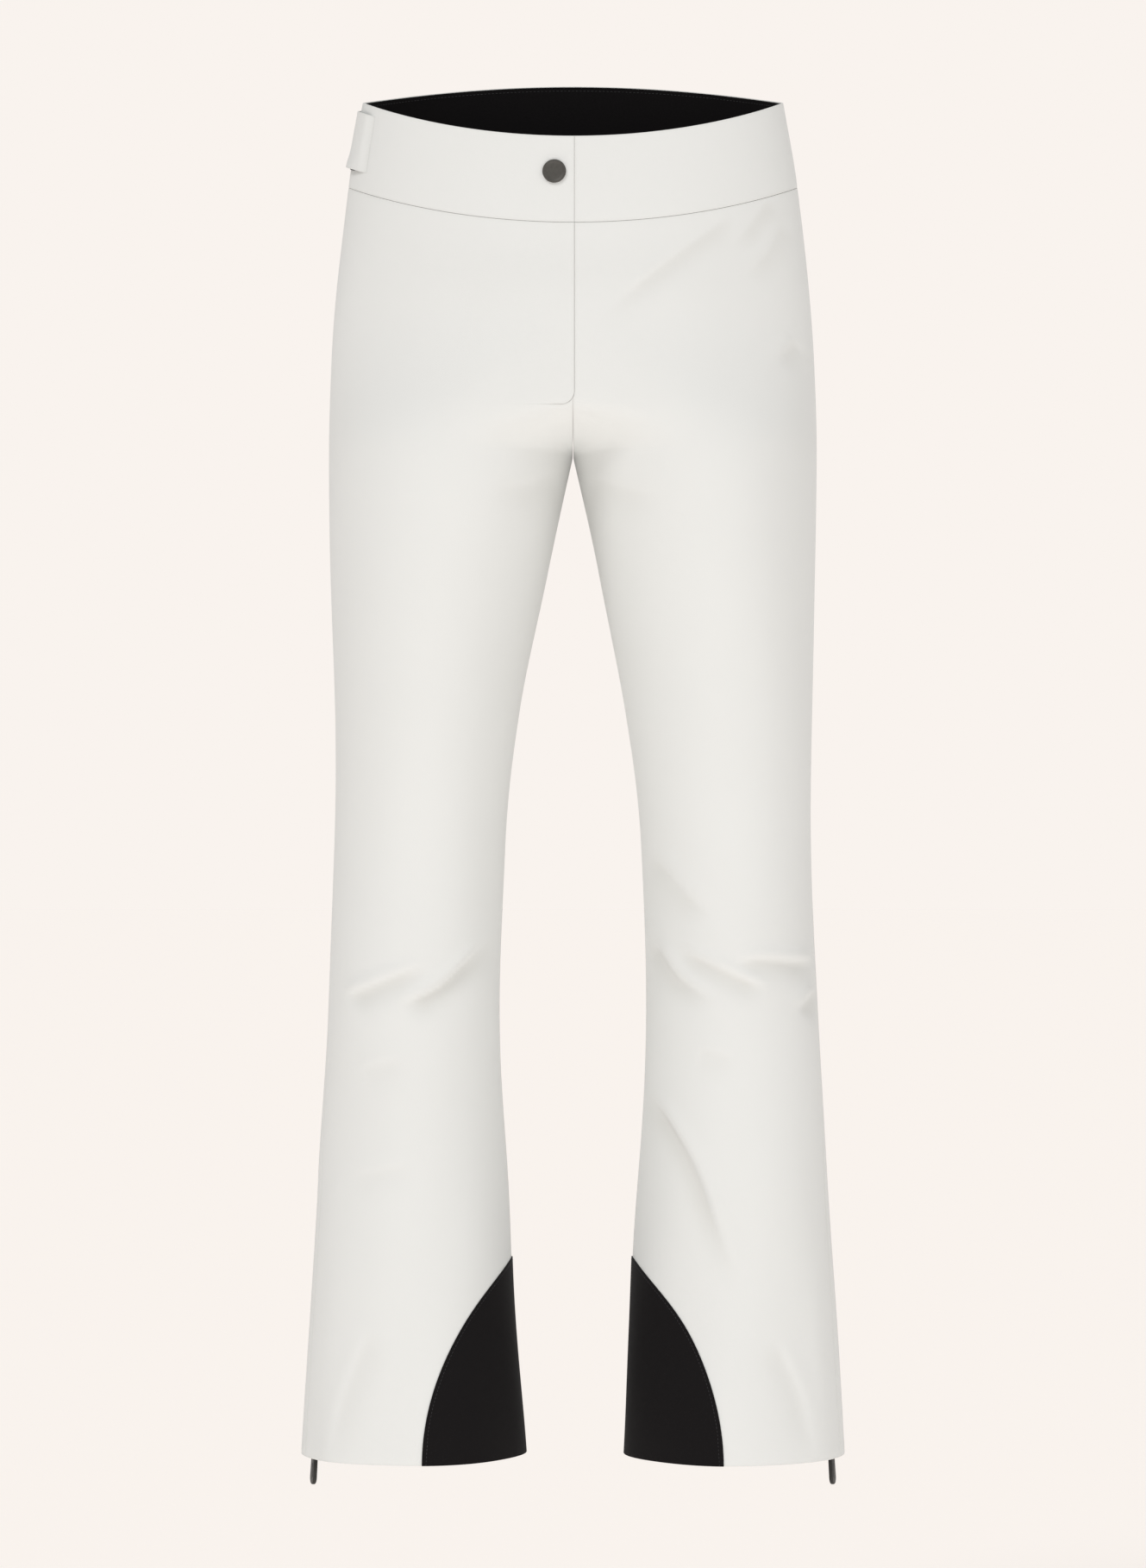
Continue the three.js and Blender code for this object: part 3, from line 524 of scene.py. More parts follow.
# ---- Finishes ----
@dataclass(frozen=True)
class Finish:
    """A surface finish; each kind adds its own pattern to the shader in pattern()."""

    name: str
    colour: tuple[float, float, float]
    roughness: float = 0.8
    metallic: float = 0.0
    sheen: float = 0.0
    specular: float = 0.4

    def material(self) -> bpy.types.Material:
        """The finish's material, made once.

        Returns:
            The material.
        """
        made = bpy.data.materials.get(self.name)
        if made:
            return made
        made = bpy.data.materials.new(self.name)
        made.use_nodes = True
        made.diffuse_color = (*self.colour, 1)
        shader = made.node_tree.nodes["Principled BSDF"]
        shader.inputs["Base Color"].default_value = (*self.colour, 1)
        shader.inputs["Roughness"].default_value = self.roughness
        shader.inputs["Metallic"].default_value = self.metallic
        shader.inputs["Sheen Weight"].default_value = self.sheen
        shader.inputs["Specular IOR Level"].default_value = self.specular
        self.pattern(Shading(made.node_tree, shader))
        return made

    def pattern(self, shading: "Shading") -> None:
        """Adds nothing on a plain finish."""


@dataclass
class Shading:
    """Short calls for the nodes that the finishes share."""

    tree: bpy.types.NodeTree
    shader: bpy.types.Node

    def node(self, kind: str, inputs: dict | None = None, **settings) -> bpy.types.Node:
        """Adds a node.

        Args:
            kind: The node's type, less its ShaderNode prefix.
            inputs: Socket names or numbers, with the values or the sockets that feed them.
            settings: The node's own settings.

        Returns:
            The node.
        """
        made = self.tree.nodes.new("ShaderNode" + kind)
        for key, value in settings.items():
            setattr(made, key, value)
        for key, value in (inputs or {}).items():
            if isinstance(value, bpy.types.NodeSocket):
                self.tree.links.new(value, made.inputs[key])
            else:
                made.inputs[key].default_value = value
        return made

    def math(self, operation: str, a: object, b: object = 0.0) -> bpy.types.NodeSocket:
        """The result of a Math node on two numbers or sockets."""
        return self.node("Math", {0: a, 1: b}, operation=operation).outputs[0]

    def noise(
        self, where: bpy.types.NodeSocket, scale: float, detail: float = 3
    ) -> bpy.types.NodeSocket:
        """A noise value from 0 to 1 over a place."""
        made = self.node("TexNoise", {"Vector": where, "Scale": scale, "Detail": detail})
        return made.outputs["Fac"]

    def place(self) -> bpy.types.NodeSocket:
        """Object coordinates."""
        return self.node("TexCoord").outputs["Object"]

    def cloth_uv(self) -> tuple[bpy.types.NodeSocket, bpy.types.NodeSocket]:
        """The two directions of the piece's flat cloth, in metres."""
        uv = self.node("UVMap", uv_map="cloth").outputs["UV"]
        parts = self.node("SeparateXYZ", {0: uv})
        return parts.outputs["X"], parts.outputs["Y"]

    def tint(self, colour: tuple, dark: tuple, amount: bpy.types.NodeSocket) -> None:
        """Colours the shader between two colours."""
        mix = self.node("Mix", {0: amount, 6: (*colour, 1), 7: (*dark, 1)}, data_type="RGBA")
        self.tree.links.new(mix.outputs[2], self.shader.inputs["Base Color"])

    def rough(self, value: bpy.types.NodeSocket) -> None:
        """Drives the shader's roughness."""
        self.tree.links.new(value, self.shader.inputs["Roughness"])

    def bump(self, height: bpy.types.NodeSocket, distance: float, strength: float = 1.0) -> None:
        """Adds a bump of a real height in metres."""
        inputs = {"Height": height, "Distance": distance, "Strength": strength}
        made = self.node("Bump", inputs)
        self.tree.links.new(made.outputs["Normal"], self.shader.inputs["Normal"])


@dataclass(frozen=True)
class Woven(Finish):
    """Cloth with a fine diagonal weave, uneven dyeing, painted shade in its creases and worn,
    soiled edges.
    """

    pitch: float = 0.9 * MM
    thread: float = 0.05 * MM
    uneven: float = 0.03
    soil: float = 0.1
    painted_crease_shade: float = 0.26

    def pattern(self, shading: Shading) -> None:
        """Weave, colour variation, painted shade in the creases and edge wear.

        Args:
            shading: The material's nodes.
        """
        u, v = shading.cloth_uv()
        turn = 2 * math.pi / self.pitch
        warp = shading.math("SINE", shading.math("MULTIPLY", shading.math("ADD", u, v), turn))
        weft = shading.math("SINE", shading.math("MULTIPLY", shading.math("SUBTRACT", u, v), turn))
        weave = shading.math("ADD", warp, shading.math("MULTIPLY", weft, 0.35))
        place = shading.place()
        broad = shading.noise(place, 7, 2)
        fine = shading.noise(place, 900, 2)
        edge = shading.node("Attribute", attribute_name="edge").outputs["Fac"]
        worn = shading.node("MapRange", {0: edge, 1: 0.0, 2: 2.2, 3: self.soil, 4: 0.0})
        weave_tone = shading.math("MULTIPLY", weave, self.uneven * 0.35)
        cloud = shading.math("MULTIPLY", shading.math("SUBTRACT", broad, 0.5), self.uneven * 3)
        # painted shade: the cloth's colour darkens where the drape's creases are deep
        crease = shading.node("Attribute", attribute_name="crease").outputs["Fac"]
        deep = shading.math("MULTIPLY", crease, self.painted_crease_shade)
        tone = shading.math("ADD", shading.math("ADD", weave_tone, cloud), worn.outputs[0])
        tone = shading.math("ADD", tone, deep)
        amount = shading.math("MAXIMUM", shading.math("ADD", tone, 0.06), 0.0)
        dark = tuple(c * s for c, s in zip(self.colour, (0.62, 0.60, 0.55)))
        shading.tint(self.colour, dark, amount)
        grain = shading.math("MULTIPLY", shading.math("SUBTRACT", fine, 0.5), 0.12)
        shading.rough(shading.math("ADD", grain, self.roughness))
        fuzz = shading.math("ADD", shading.math("MULTIPLY", weave, 0.5), fine)
        shading.bump(fuzz, self.thread)


@dataclass(frozen=True)
class Ribbed(Finish):
    """Knitted elastic or tape with ribs along its length."""

    pitch: float = 1.1 * MM
    depth: float = 0.12 * MM

    def pattern(self, shading: Shading) -> None:
        """Herringbone ribs with fine grain.

        Args:
            shading: The material's nodes.
        """
        u, v = shading.cloth_uv()
        turn = 2 * math.pi / self.pitch
        rib = shading.math("SINE", shading.math("MULTIPLY", v, turn))
        slant = shading.math("MULTIPLY", shading.math("ADD", u, v), turn * 1.7)
        cross = shading.math("SINE", slant)
        height = shading.math("ADD", rib, shading.math("MULTIPLY", cross, 0.5))
        fine = shading.noise(shading.place(), 1200, 2)
        tone = shading.math("ADD", shading.math("MULTIPLY", height, 0.1), fine)
        dark = tuple(c * 0.6 for c in self.colour)
        shading.tint(self.colour, dark, shading.math("MULTIPLY", tone, 0.5))
        shading.bump(shading.math("ADD", height, fine), self.depth)


@dataclass(frozen=True)
class Brushed(Finish):
    """Dark metal with fine scratches and a rubbed, uneven tone."""

    scratch: float = 0.02 * MM

    def pattern(self, shading: Shading) -> None:
        """Scratches, blotches and rubbed spots.

        Args:
            shading: The material's nodes.
        """
        place = shading.place()
        stretched = shading.node("Mapping", {"Vector": place, "Scale": (1, 1, 0.08)}).outputs[0]
        scratches = shading.noise(stretched, 5200, 3)
        blotch = shading.noise(place, 420, 4)
        light = tuple(min(1, c * 1.5 + 0.02) for c in self.colour)
        shading.tint(self.colour, light, shading.math("MULTIPLY", blotch, 0.55))
        spread = shading.math("MULTIPLY", shading.math("SUBTRACT", scratches, 0.5), 0.3)
        shading.rough(shading.math("ADD", spread, self.roughness))
        shading.bump(scratches, self.scratch)


@dataclass(frozen=True)
class Moulded(Finish):
    """Moulded rubbery plastic with a fine spark-eroded grain."""

    grain: float = 0.05 * MM

    def pattern(self, shading: Shading) -> None:
        """Grain, with slightly polished high spots.

        Args:
            shading: The material's nodes.
        """
        place = shading.place()
        grain = shading.noise(place, 2600, 2)
        blotch = shading.noise(place, 160, 3)
        light = tuple(min(1, c * 1.6 + 0.01) for c in self.colour)
        shading.tint(self.colour, light, shading.math("MULTIPLY", blotch, 0.6))
        spread = shading.math("MULTIPLY", grain, 0.2)
        shading.rough(shading.math("ADD", spread, self.roughness - 0.1))
        shading.bump(grain, self.grain)


@dataclass(frozen=True)
class Pile(Finish):
    """Loop or hook tape: a dense, matted pile."""

    depth: float = 0.4 * MM

    def pattern(self, shading: Shading) -> None:
        """Curly loops.

        Args:
            shading: The material's nodes.
        """
        place = shading.place()
        cells = shading.node("TexVoronoi", {"Vector": place, "Scale": 1400.0}).outputs["Distance"]
        curl = shading.noise(place, 2100, 4)
        height = shading.math("ADD", cells, curl)
        light = tuple(c * 2.2 for c in self.colour)
        shading.tint(self.colour, light, shading.math("MULTIPLY", height, 0.4))
        shading.bump(height, self.depth)


SHELL = Woven("shell_cloth", (0.797, 0.804, 0.79), 0.78, sheen=0.12, specular=0.25)
BLACK = Woven(
    "black_cloth", (0.0072, 0.0062, 0.0066), 0.88, sheen=0.02, specular=0.12, pitch=1.2 * MM
)
LINING = Woven("lining_cloth", (0.009, 0.009, 0.0105), 0.62, specular=0.25, pitch=0.7 * MM)
LIGHT_TAPE = Ribbed("light_zip_tape", (0.72, 0.71, 0.68), 0.75)
DARK_TAPE = Ribbed("dark_zip_tape", (0.012, 0.012, 0.013), 0.75)
ELASTIC = Ribbed("ribbed_elastic", (0.011, 0.011, 0.012), 0.7, pitch=1.6 * MM)
HOOK_TAPE = Pile("hook_tape", (0.012, 0.012, 0.013), 0.8)
SNAP_METAL = Brushed("snap_gunmetal", (0.072, 0.068, 0.061), 0.52, metallic=0.55)
ZIP_METAL = Brushed("zip_gunmetal", (0.11, 0.105, 0.095), 0.38, metallic=0.85)
PULLER = Moulded("puller_plastic", (0.014, 0.0125, 0.011), 0.42)
COIL_LIGHT = Moulded("light_coil", (0.7, 0.69, 0.66), 0.45)
COIL_DARK = Moulded("dark_coil", (0.014, 0.014, 0.015), 0.4)
WHITE_THREAD = Moulded("white_thread", (0.78, 0.785, 0.77), 0.7)
BLACK_THREAD = Moulded("black_thread", (0.03, 0.03, 0.032), 0.6)


# ---- Meshes ----
SHARP = math.radians(55)


def mesh_object(name: str, points: Array, faces: Array | list, finish: Finish) -> bpy.types.Object:
    """Makes an object in the scene from points in millimetres.

    Args:
        name: The piece's name.
        points: Points, in millimetres.
        faces: Faces, as lists of point numbers.
        finish: What it is dressed in.

    Returns:
        The object, at the origin.
    """
    mesh = bpy.data.meshes.new(name)
    mesh.from_pydata((points * MM).tolist(), [], [list(map(int, f)) for f in faces])
    mesh.validate()
    mesh.shade_smooth()
    mesh.set_sharp_from_angle(angle=SHARP)
    mesh.materials.append(finish.material())
    made = bpy.data.objects.new(name, mesh)
    bpy.context.scene.collection.objects.link(made)
    return made


@dataclass
class Cloth:
    """Two grids of points, the faces of a piece of cloth, with what its material has to know."""

    outer: Array
    inner: Array
    flat: Array
    edge: Array
    crease: Array
    keep: Array | None = None
    closed: bool = False

    def quads(self) -> Array:
        """Point numbers of the faces on both sides and round every border."""
        rows, columns = self.outer.shape[:2]
        count = rows * columns
        number = np.arange(count).reshape(rows, columns)
        if self.closed:
            number = np.concatenate([number, number[:, :1]], 1)
        a, b = number[:-1, :-1], number[1:, :-1]
        c, d = number[1:, 1:], number[:-1, 1:]
        kept = np.ones(a.shape, bool) if self.keep is None else self.keep
        padded = np.pad(kept, 1)
        if self.closed:
            padded[1:-1, 0], padded[1:-1, -1] = kept[:, -1], kept[:, 0]
        near = np.stack([a, b, c, d], -1)[kept]
        faces = [near, near[:, ::-1] + count]
        borders = (
            (padded[1:-1, :-2], a, b),
            (padded[2:, 1:-1], b, c),
            (padded[1:-1, 2:], c, d),
            (padded[:-2, 1:-1], d, a),
        )
        for neighbour, start, end in borders:
            open_edge = kept & ~neighbour
            p, q = start[open_edge], end[open_edge]
            faces.append(np.stack([q, p, p + count, q + count], -1))
        return np.concatenate(faces)

    def oriented(self) -> Array:
        """The faces, turned round if they would point inwards."""
        faces = self.quads()
        r, c = self.outer.shape[0] // 2, self.outer.shape[1] // 3
        if self.keep is not None:
            r = self.outer.shape[0] * 3 // 4
        across = self.outer[r, c + 1] - self.outer[r, c]
        down = self.outer[r + 1, c] - self.outer[r, c]
        out = self.outer[r, c] - self.inner[r, c]
        return faces if np.dot(np.cross(down, across), out) > 0 else faces[:, ::-1]

    def cut(self) -> tuple[tuple[float, float], float]:
        """The flat size and the flat area, in metres."""
        kept = slice(None) if self.keep is None else self.keep
        grid = self.outer
        if self.closed:
            grid = np.concatenate([grid, grid[:, :1]], 1)
        width = np.linalg.norm(np.diff(grid, axis=1), axis=-1).sum(1).max()
        length = np.linalg.norm(np.diff(grid, axis=0), axis=-1).sum(0).max()
        first, second = grid[1:, 1:] - grid[:-1, :-1], grid[1:, :-1] - grid[:-1, 1:]
        areas = np.linalg.norm(np.cross(first, second), axis=-1) / 2
        area = min(areas[kept].sum(), width * length)
        return (float(width * MM), float(length * MM)), float(area * MM * MM)

    def build(self, name: str, finish: Finish) -> bpy.types.Object:
        """Makes the piece, with its cloth UV map and its attributes.

        Args:
            name: The piece's name.
            finish: What it is dressed in.

        Returns:
            The object.
        """
        points = np.concatenate([self.outer.reshape(-1, 3), self.inner.reshape(-1, 3)])
        faces = self.oriented()
        used = np.unique(faces)
        renumber = np.zeros(len(points), int)
        renumber[used] = np.arange(len(used))
        made = mesh_object(name, points[used], renumber[faces], finish)
        mesh = made.data
        corner = np.zeros(len(mesh.loops), int)
        mesh.loops.foreach_get("vertex_index", corner)
        flat = np.tile(self.flat.reshape(-1, 2), (2, 1))[used]
        layer = mesh.uv_layers.new(name="cloth")
        layer.data.foreach_set("uv", flat[corner].astype(np.float32).ravel())
        for title, values in (("edge", self.edge), ("crease", self.crease)):
            attribute = mesh.attributes.new(title, "FLOAT", "POINT")
            attribute.data.foreach_set("value", np.tile(values.ravel(), 2)[used].astype(np.float32))
        return made


EDGE_STEPS = (0, 0.12, 0.3, 0.6, 1.1, 1.9, 3.0, 4.6)  # first distances from a finished edge
EDGE_ROUND = 0.3  # radius of a finished edge, in thicknesses
SEAM_SOFTNESS = 2.4  # distance over which cloth is drawn in at a seam
ROW_SAMPLES = 260


def spaced(total: float, count: int, first: bool = True, last: bool = True) -> Array:
    """Distances along a line of cloth, close together at its finished ends.

    Args:
        total: The line's length.
        count: How many distances.
        first: Whether the start is a finished edge.
        last: Whether the end is one.

    Returns:
        The distances, from 0 to total.
    """
    steps = np.array(EDGE_STEPS)
    low = steps if first else steps[:1]
    high = (total - steps[::-1]) if last else np.array([total])
    inside = np.linspace(low[-1], high[0], count - len(low) - len(high) + 2)[1:-1]
    return np.concatenate([low, inside, high])


def from_ends(line: Array) -> Array:
    """Distance of each place on a line to the nearer of its ends."""
    return np.minimum(np.abs(line - line[0]), np.abs(line[-1] - line))


def rounded(edge: Array, thick: float) -> Array:
    """How far a face dips towards the cloth's middle as it rounds over a finished edge."""
    radius = EDGE_ROUND * thick
    short = np.clip(radius - edge, 0, radius)
    return radius - np.sqrt(radius**2 - short**2)


@dataclass
class Lay:
    """A grid of places on the skin, ready to become cloth."""

    side: Array
    level: Array
    angle: Array
    edge: Array
    across: Array
    keep: Array | None = None

    def cloth(self, near: Array, far: Array, pinch: float = 0.0, closed: bool = False) -> Cloth:
        """Gives the grid two faces.

        Args:
            near: Depth of the outer face.
            far: Depth of the inner face.
            pinch: How far the seams draw both faces in.
            closed: Whether the last column joins the first.

        Returns:
            The cloth.
        """
        drawn = pinch * np.exp(-((self.edge / SEAM_SOFTNESS) ** 2))
        thick = np.min(np.asarray(far) - np.asarray(near))
        dip = rounded(self.edge, thick)
        outer = DRAPE.at(self.side, self.level, self.angle, near + dip + drawn)
        inner = DRAPE.at(self.side, self.level, self.angle, far - dip + drawn)
        level = np.broadcast_to(self.level, outer.shape[:2])
        flat = np.stack([self.across, level], -1) * MM
        edge = np.broadcast_to(self.edge, outer.shape[:2])
        # crease depth, which the cloth's material darkens as painted shade
        crease = DRAPE.shade(self.side, self.level, self.angle)
        crease = np.broadcast_to(crease, outer.shape[:2])
        return Cloth(outer, inner, flat, edge, crease, self.keep, closed)


def row_angles(
    side: Array, level: Array, first: Array, last: Array, places: Callable[[float], Array]
) -> tuple[Array, Array]:
    """Angles at given distances along each row.

    Args:
        side: Sign of X.
        level: The rows' levels.
        first: Each row's first angle.
        last: Each row's last angle.
        places: Gives the distances along a row from the row's length.

    Returns:
        Angles and distances from the first edge.
    """
    share = np.linspace(0, 1, ROW_SAMPLES)
    angle = first[:, None] + (last - first)[:, None] * share
    points = SKIN.point(side, level[:, None], angle)
    run = np.linalg.norm(np.diff(points, axis=1), axis=-1)
    run = np.concatenate([np.zeros((len(level), 1)), np.cumsum(run, 1)], 1)
    angles, along = [], []
    for r, length in enumerate(run[:, -1]):
        at = places(length)
        angles.append(np.interp(at, run[r], angle[r]))
        along.append(at)
    return np.array(angles), np.array(along)


def path_on(
    side: Array, level: Array, angle: Array, depth: float, inside: bool = False
) -> tuple[Array, Array]:
    """A path on the cloth.

    Args:
        side: Sign of X.
        level: Level of each point.
        angle: Angle of each point.
        depth: Depth of the path.
        inside: Whether it lies on the inner face.

    Returns:
        Points, and the direction out of the face they lie on.
    """
    out = SKIN.outward(side, level, angle)
    return DRAPE.at(side, level, angle, depth), -out if inside else out


@dataclass
class Sewn:
    """A finished cloth piece and everything that the frame has to know about it."""

    name: str
    cloth: Cloth
    finish: Finish
    slot: str
    held: str = "hung"
    body: str = "pants_body"
    replaces: tuple[str, ...] = ()
    rests_on: tuple[str, ...] = ()
    blend: tuple | None = None

    def make(self) -> bpy.types.Object:
        """Returns:
            The object.
        """
        made = self.cloth.build(self.name, self.finish)
        if self.blend:
            other, start, end = self.blend
            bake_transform(made)
        else:
            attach(made, self.body)
        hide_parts(*(self.replaces or (self.name,)))
        flat, area = self.cloth.cut()
        list(self.rests_on)
        log.info("%s: cut %.0f x %.0f mm, %.4f m2", self.name, flat[0] / MM, flat[1] / MM, area)
        return made


# ---- Body ----
CLOTH = 1.2
LINING_THICK = 0.6
FLY_FOLD_X = -34.0
FLY_EDGE_X = 1.0
FLY_BOTTOM = 238.5
FLY_CORNER = 10.0
FLY_GAP = 0.1
FLY_JOIN_X = -44.0  # where the flap's cloth runs on into the right front
BEND = 2.2  # half the width of cloth between the start and the end of the flap's blend
COIL_OFFSET = 0.68  # distance of each row of a zip's coil from the zip's middle
HEM_RADIUS = 90  # turns an angle near the hem into a length


def fly_floor(x: Array, margin: float) -> Array:
    """Height of the flap's bottom edge at each x, round its corner, grown by a margin.

    Args:
        x: Signed distances from the centre line.
        margin: How far outside the flap.

    Returns:
        Heights.
    """
    radius = FLY_CORNER + margin
    centre = FLY_EDGE_X - FLY_CORNER
    over = np.clip(x - centre, 0, radius)
    return -FLY_BOTTOM + FLY_CORNER - np.sqrt(radius**2 - over**2)


def fly_side(z: Array, margin: float, inside: float) -> Array:
    """The x where cloth beside the flap ends at each height: round the flap, then at the centre.

    Args:
        z: Heights.
        margin: How far outside the flap.
        inside: The edge's x below the fly.

    Returns:
        Signed distances from the centre line.
    """
    radius = FLY_CORNER + margin
    centre = -FLY_BOTTOM + FLY_CORNER
    drop = np.clip(centre - z, 0, radius)
    round_edge = FLY_EDGE_X - FLY_CORNER + np.sqrt(radius**2 - drop**2)
    return np.maximum(round_edge, inside)


@dataclass
class Body:
    """The four outer panels and their four linings."""

    top: float = -65.15
    width: float = 270
    row_step: float = 2.6
    column_step: float = 3.1
    lining_hem: float = 240
    lining_depth: float = 1.8
    lining_slack: float = 3.8
    centre_inset: float = 0.001  # at the centre seam, in radians for each millimetre elsewhere
    pinch: float = 0.2
    turn_up: float = 26
    turn_up_thick: float = 0.5

    def levels(self, bottom: float, extra: tuple[float, ...] = ()) -> Array:
        """Row levels from the waistband's seam down, close together at both edges."""
        total = self.top - bottom
        at = self.top - spaced(total, int(total / self.row_step))
        if extra:
            at = np.array(sorted(set(np.round(at, 4)) | set(extra), reverse=True))
        return at

    def edges(self, across: Array, level: Array, bottom: float) -> Array:
        """Distance to the nearest cut edge at each grid place."""
        beside = np.minimum(across, across[:, -1:] - across)
        ends = np.minimum(self.top - level, level - bottom)[:, None]
        return np.minimum(beside, ends)

    def lay(self, side: Side, face: Face, bottom: float, inset: float, fly_x: float | None) -> Lay:
        """A panel's grid.

        Args:
            side: Which leg.
            face: Front or back.
            bottom: Level of its lower edge.
            inset: How far it stays inside the outer panel's seams.
            fly_x: Signed x of its edge along the fly, if the fly cuts it.

        Returns:
            The grid.
        """
        level = self.levels(bottom)
        first = SKIN.beside_outseam(level, face, SKIN.seam_gap / 2 + inset)
        last = face.value * (SKIN.last_angle(level, face) - inset * self.centre_inset)
        if fly_x is not None:
            last = self.fly_edge(side, level, last, fly_x, inset)
        count = int(self.width / self.column_step)
        angle, across = row_angles(side.value, level, first, last, lambda d: spaced(d, count))
        edge = self.edges(across, level, bottom)
        return Lay(side.value, level[:, None], angle, edge, across)

    def fly_edge(self, side: Side, level: Array, last: Array, fly_x: float, inset: float) -> Array:
        """The last angle of each row of a front panel that the fly cuts.

        Args:
            side: Which leg; not used.
            level: Row levels.
            last: Where the rows would end without a fly.
            fly_x: Signed x of the edge along the fly.
            inset: Over 0 for linings, whose edge slants back to the seam.

        Returns:
            The angles.
        """
        z = level + SKIN.tilt(np.full_like(level, math.pi / 2), level)
        if inset:
            open_share = smoothstep(-268, -244, z)
            cut = SKIN.angle_at_x(level, abs(fly_x))
            return last + (np.minimum(cut, last) - last) * open_share
        x = fly_side(z, FLY_GAP, SKIN.seam_gap / 2)
        cut = SKIN.angle_at_x(level, x)
        return np.where(z > -FLY_BOTTOM - FLY_GAP, np.minimum(cut, last), last)

    def right_front(self) -> Lay:
        """The right front's grid, which leaves out the place of the fly flap.

        Returns:
            The grid, with its kept quads marked.
        """
        face, side = Face.FRONT, Side.RIGHT.value
        floor = -FLY_BOTTOM - FLY_GAP
        steps = tuple(np.round(floor - np.array(EDGE_STEPS), 4))
        level = self.levels(SKIN.hem_z, steps)
        row = int(np.argmin(np.abs(level - floor)))
        first = SKIN.beside_outseam(level, face, SKIN.seam_gap / 2)
        last = SKIN.last_angle(level, face)
        at_join = SKIN.angle_at_x(np.maximum(level, -262), -FLY_JOIN_X)
        share = (at_join[row] - first[row]) / (last[row] - first[row])
        low = first + (last - first) * share
        blend = smoothstep(floor - 12, floor - 110, level)
        middle = at_join + (low - at_join) * blend
        outer, run = row_angles(side, level, first, middle, lambda d: spaced(d, 66, True, False))
        inner, past = row_angles(side, level, middle, last, lambda d: spaced(d, 26, False, True))
        angle = np.concatenate([outer, inner[:, 1:]], 1)
        across = np.concatenate([run, run[:, -1:] + past[:, 1:]], 1)
        levels = np.broadcast_to(level[:, None], angle.shape).copy()
        x = SKIN.point(side, level[row], angle[row])[:, 0]
        rise = fly_floor(x, FLY_GAP) - floor
        rise = np.where(np.arange(len(x)) >= outer.shape[1] - 1, rise, 0)
        fade = smoothstep(floor - 24, floor, level) * (level <= floor + 1e-6)
        x_flat = -SKIN.point(side, levels, angle)[..., 0]
        raised = rise * fade[:, None]
        levels += raised
        at_same_x = SKIN.angle_at_x(levels, np.maximum(x_flat, SKIN.seam_gap / 2))
        angle = np.where(raised > 0, at_same_x, angle)
        keep = np.ones((len(level) - 1, angle.shape[1] - 1), bool)
        keep[:row, outer.shape[1] - 1:] = False
        edge = self.edges(across, level, SKIN.hem_z)
        above = np.arange(len(level)) <= row
        ends = (self.top - level)[:, None]
        edge = np.where(above[:, None], np.minimum(across, ends), edge)
        below = np.maximum(levels[row] - levels, 0)
        lip = below + 6 * (1 - smoothstep(-30, -14, x))
        past_join = np.arange(angle.shape[1]) >= outer.shape[1] - 1
        along_lip = past_join & (~above[:, None] | (levels == levels[row]))
        edge = np.where(along_lip, np.minimum(edge, lip), edge)
        return Lay(side, levels, angle, edge, across, keep)

    def hem_thickness(self, lay: Lay, face: Face) -> Array:
        """How much thicker the cloth is where the hem is turned up, clear of the zip."""
        above = lay.level - SKIN.hem_z
        seam = SKIN.beside_outseam(lay.level, face, 0)
        off_zip = smoothstep(18, 24, np.abs(lay.angle - seam) * HEM_RADIUS)
        turned = 1 - smoothstep(self.turn_up - 1, self.turn_up, above)
        return self.turn_up_thick * turned * off_zip

    def build(self) -> None:
        """Makes the panels and the linings."""
        for side in Side:
            for face in Face:
                fly = face is Face.FRONT
                if fly and side is Side.RIGHT:
                    lay = self.right_front()
                else:
                    lay = self.lay(side, face, SKIN.hem_z, 0, FLY_EDGE_X if fly else None)
                far = CLOTH + self.hem_thickness(lay, face)
                name = f"{face.word}_panel_{side.word}"
                rests = ("waistband_back",)
                cloth = lay.cloth(0, far, self.pinch)
                Sewn(name, cloth, SHELL, "shell_fabric", rests_on=rests).make()
                self.lining(side, face)

    def lining(self, side: Side, face: Face) -> None:
        """Makes one lining panel.

        Args:
            side: Which leg.
            face: Front or back.
        """
        fly_x = None
        if face is Face.FRONT:
            fly_x = FLY_FOLD_X - 14 if side is Side.RIGHT else FLY_EDGE_X + 17
        coarse = Body(row_step=4, column_step=8)
        lay = coarse.lay(side, face, SKIN.hem_z + self.lining_hem, 1, fly_x)
        near = self.lining_depth + self.lining_slack * smoothstep(0, 16, lay.edge)
        cloth = lay.cloth(near, near + LINING_THICK)
        name = f"lining_{face.word}_{side.word}"
        Sewn(name, cloth, LINING, "lining_fabric", rests_on=("waistband_lining_back",)).make()


# ---- Waistband and fly ----
def front_place(x: Array, level: Array) -> tuple[Array, Array]:
    """The side and the angle of places on the front, by their signed x."""
    side = np.where(x < 0, -1, 1)
    return side, SKIN.angle_at_x(level, np.abs(x))


def eased(shallow_x: float, deep_x: float, shallow: float, deep: float, x: Array) -> Array:
    """A depth that eases from a sewn edge to a deeper free edge."""
    t = np.clip((x - shallow_x) / (deep_x - shallow_x), 0, 1)
    return shallow + (deep - shallow) * t * t * (3 - 2 * t)


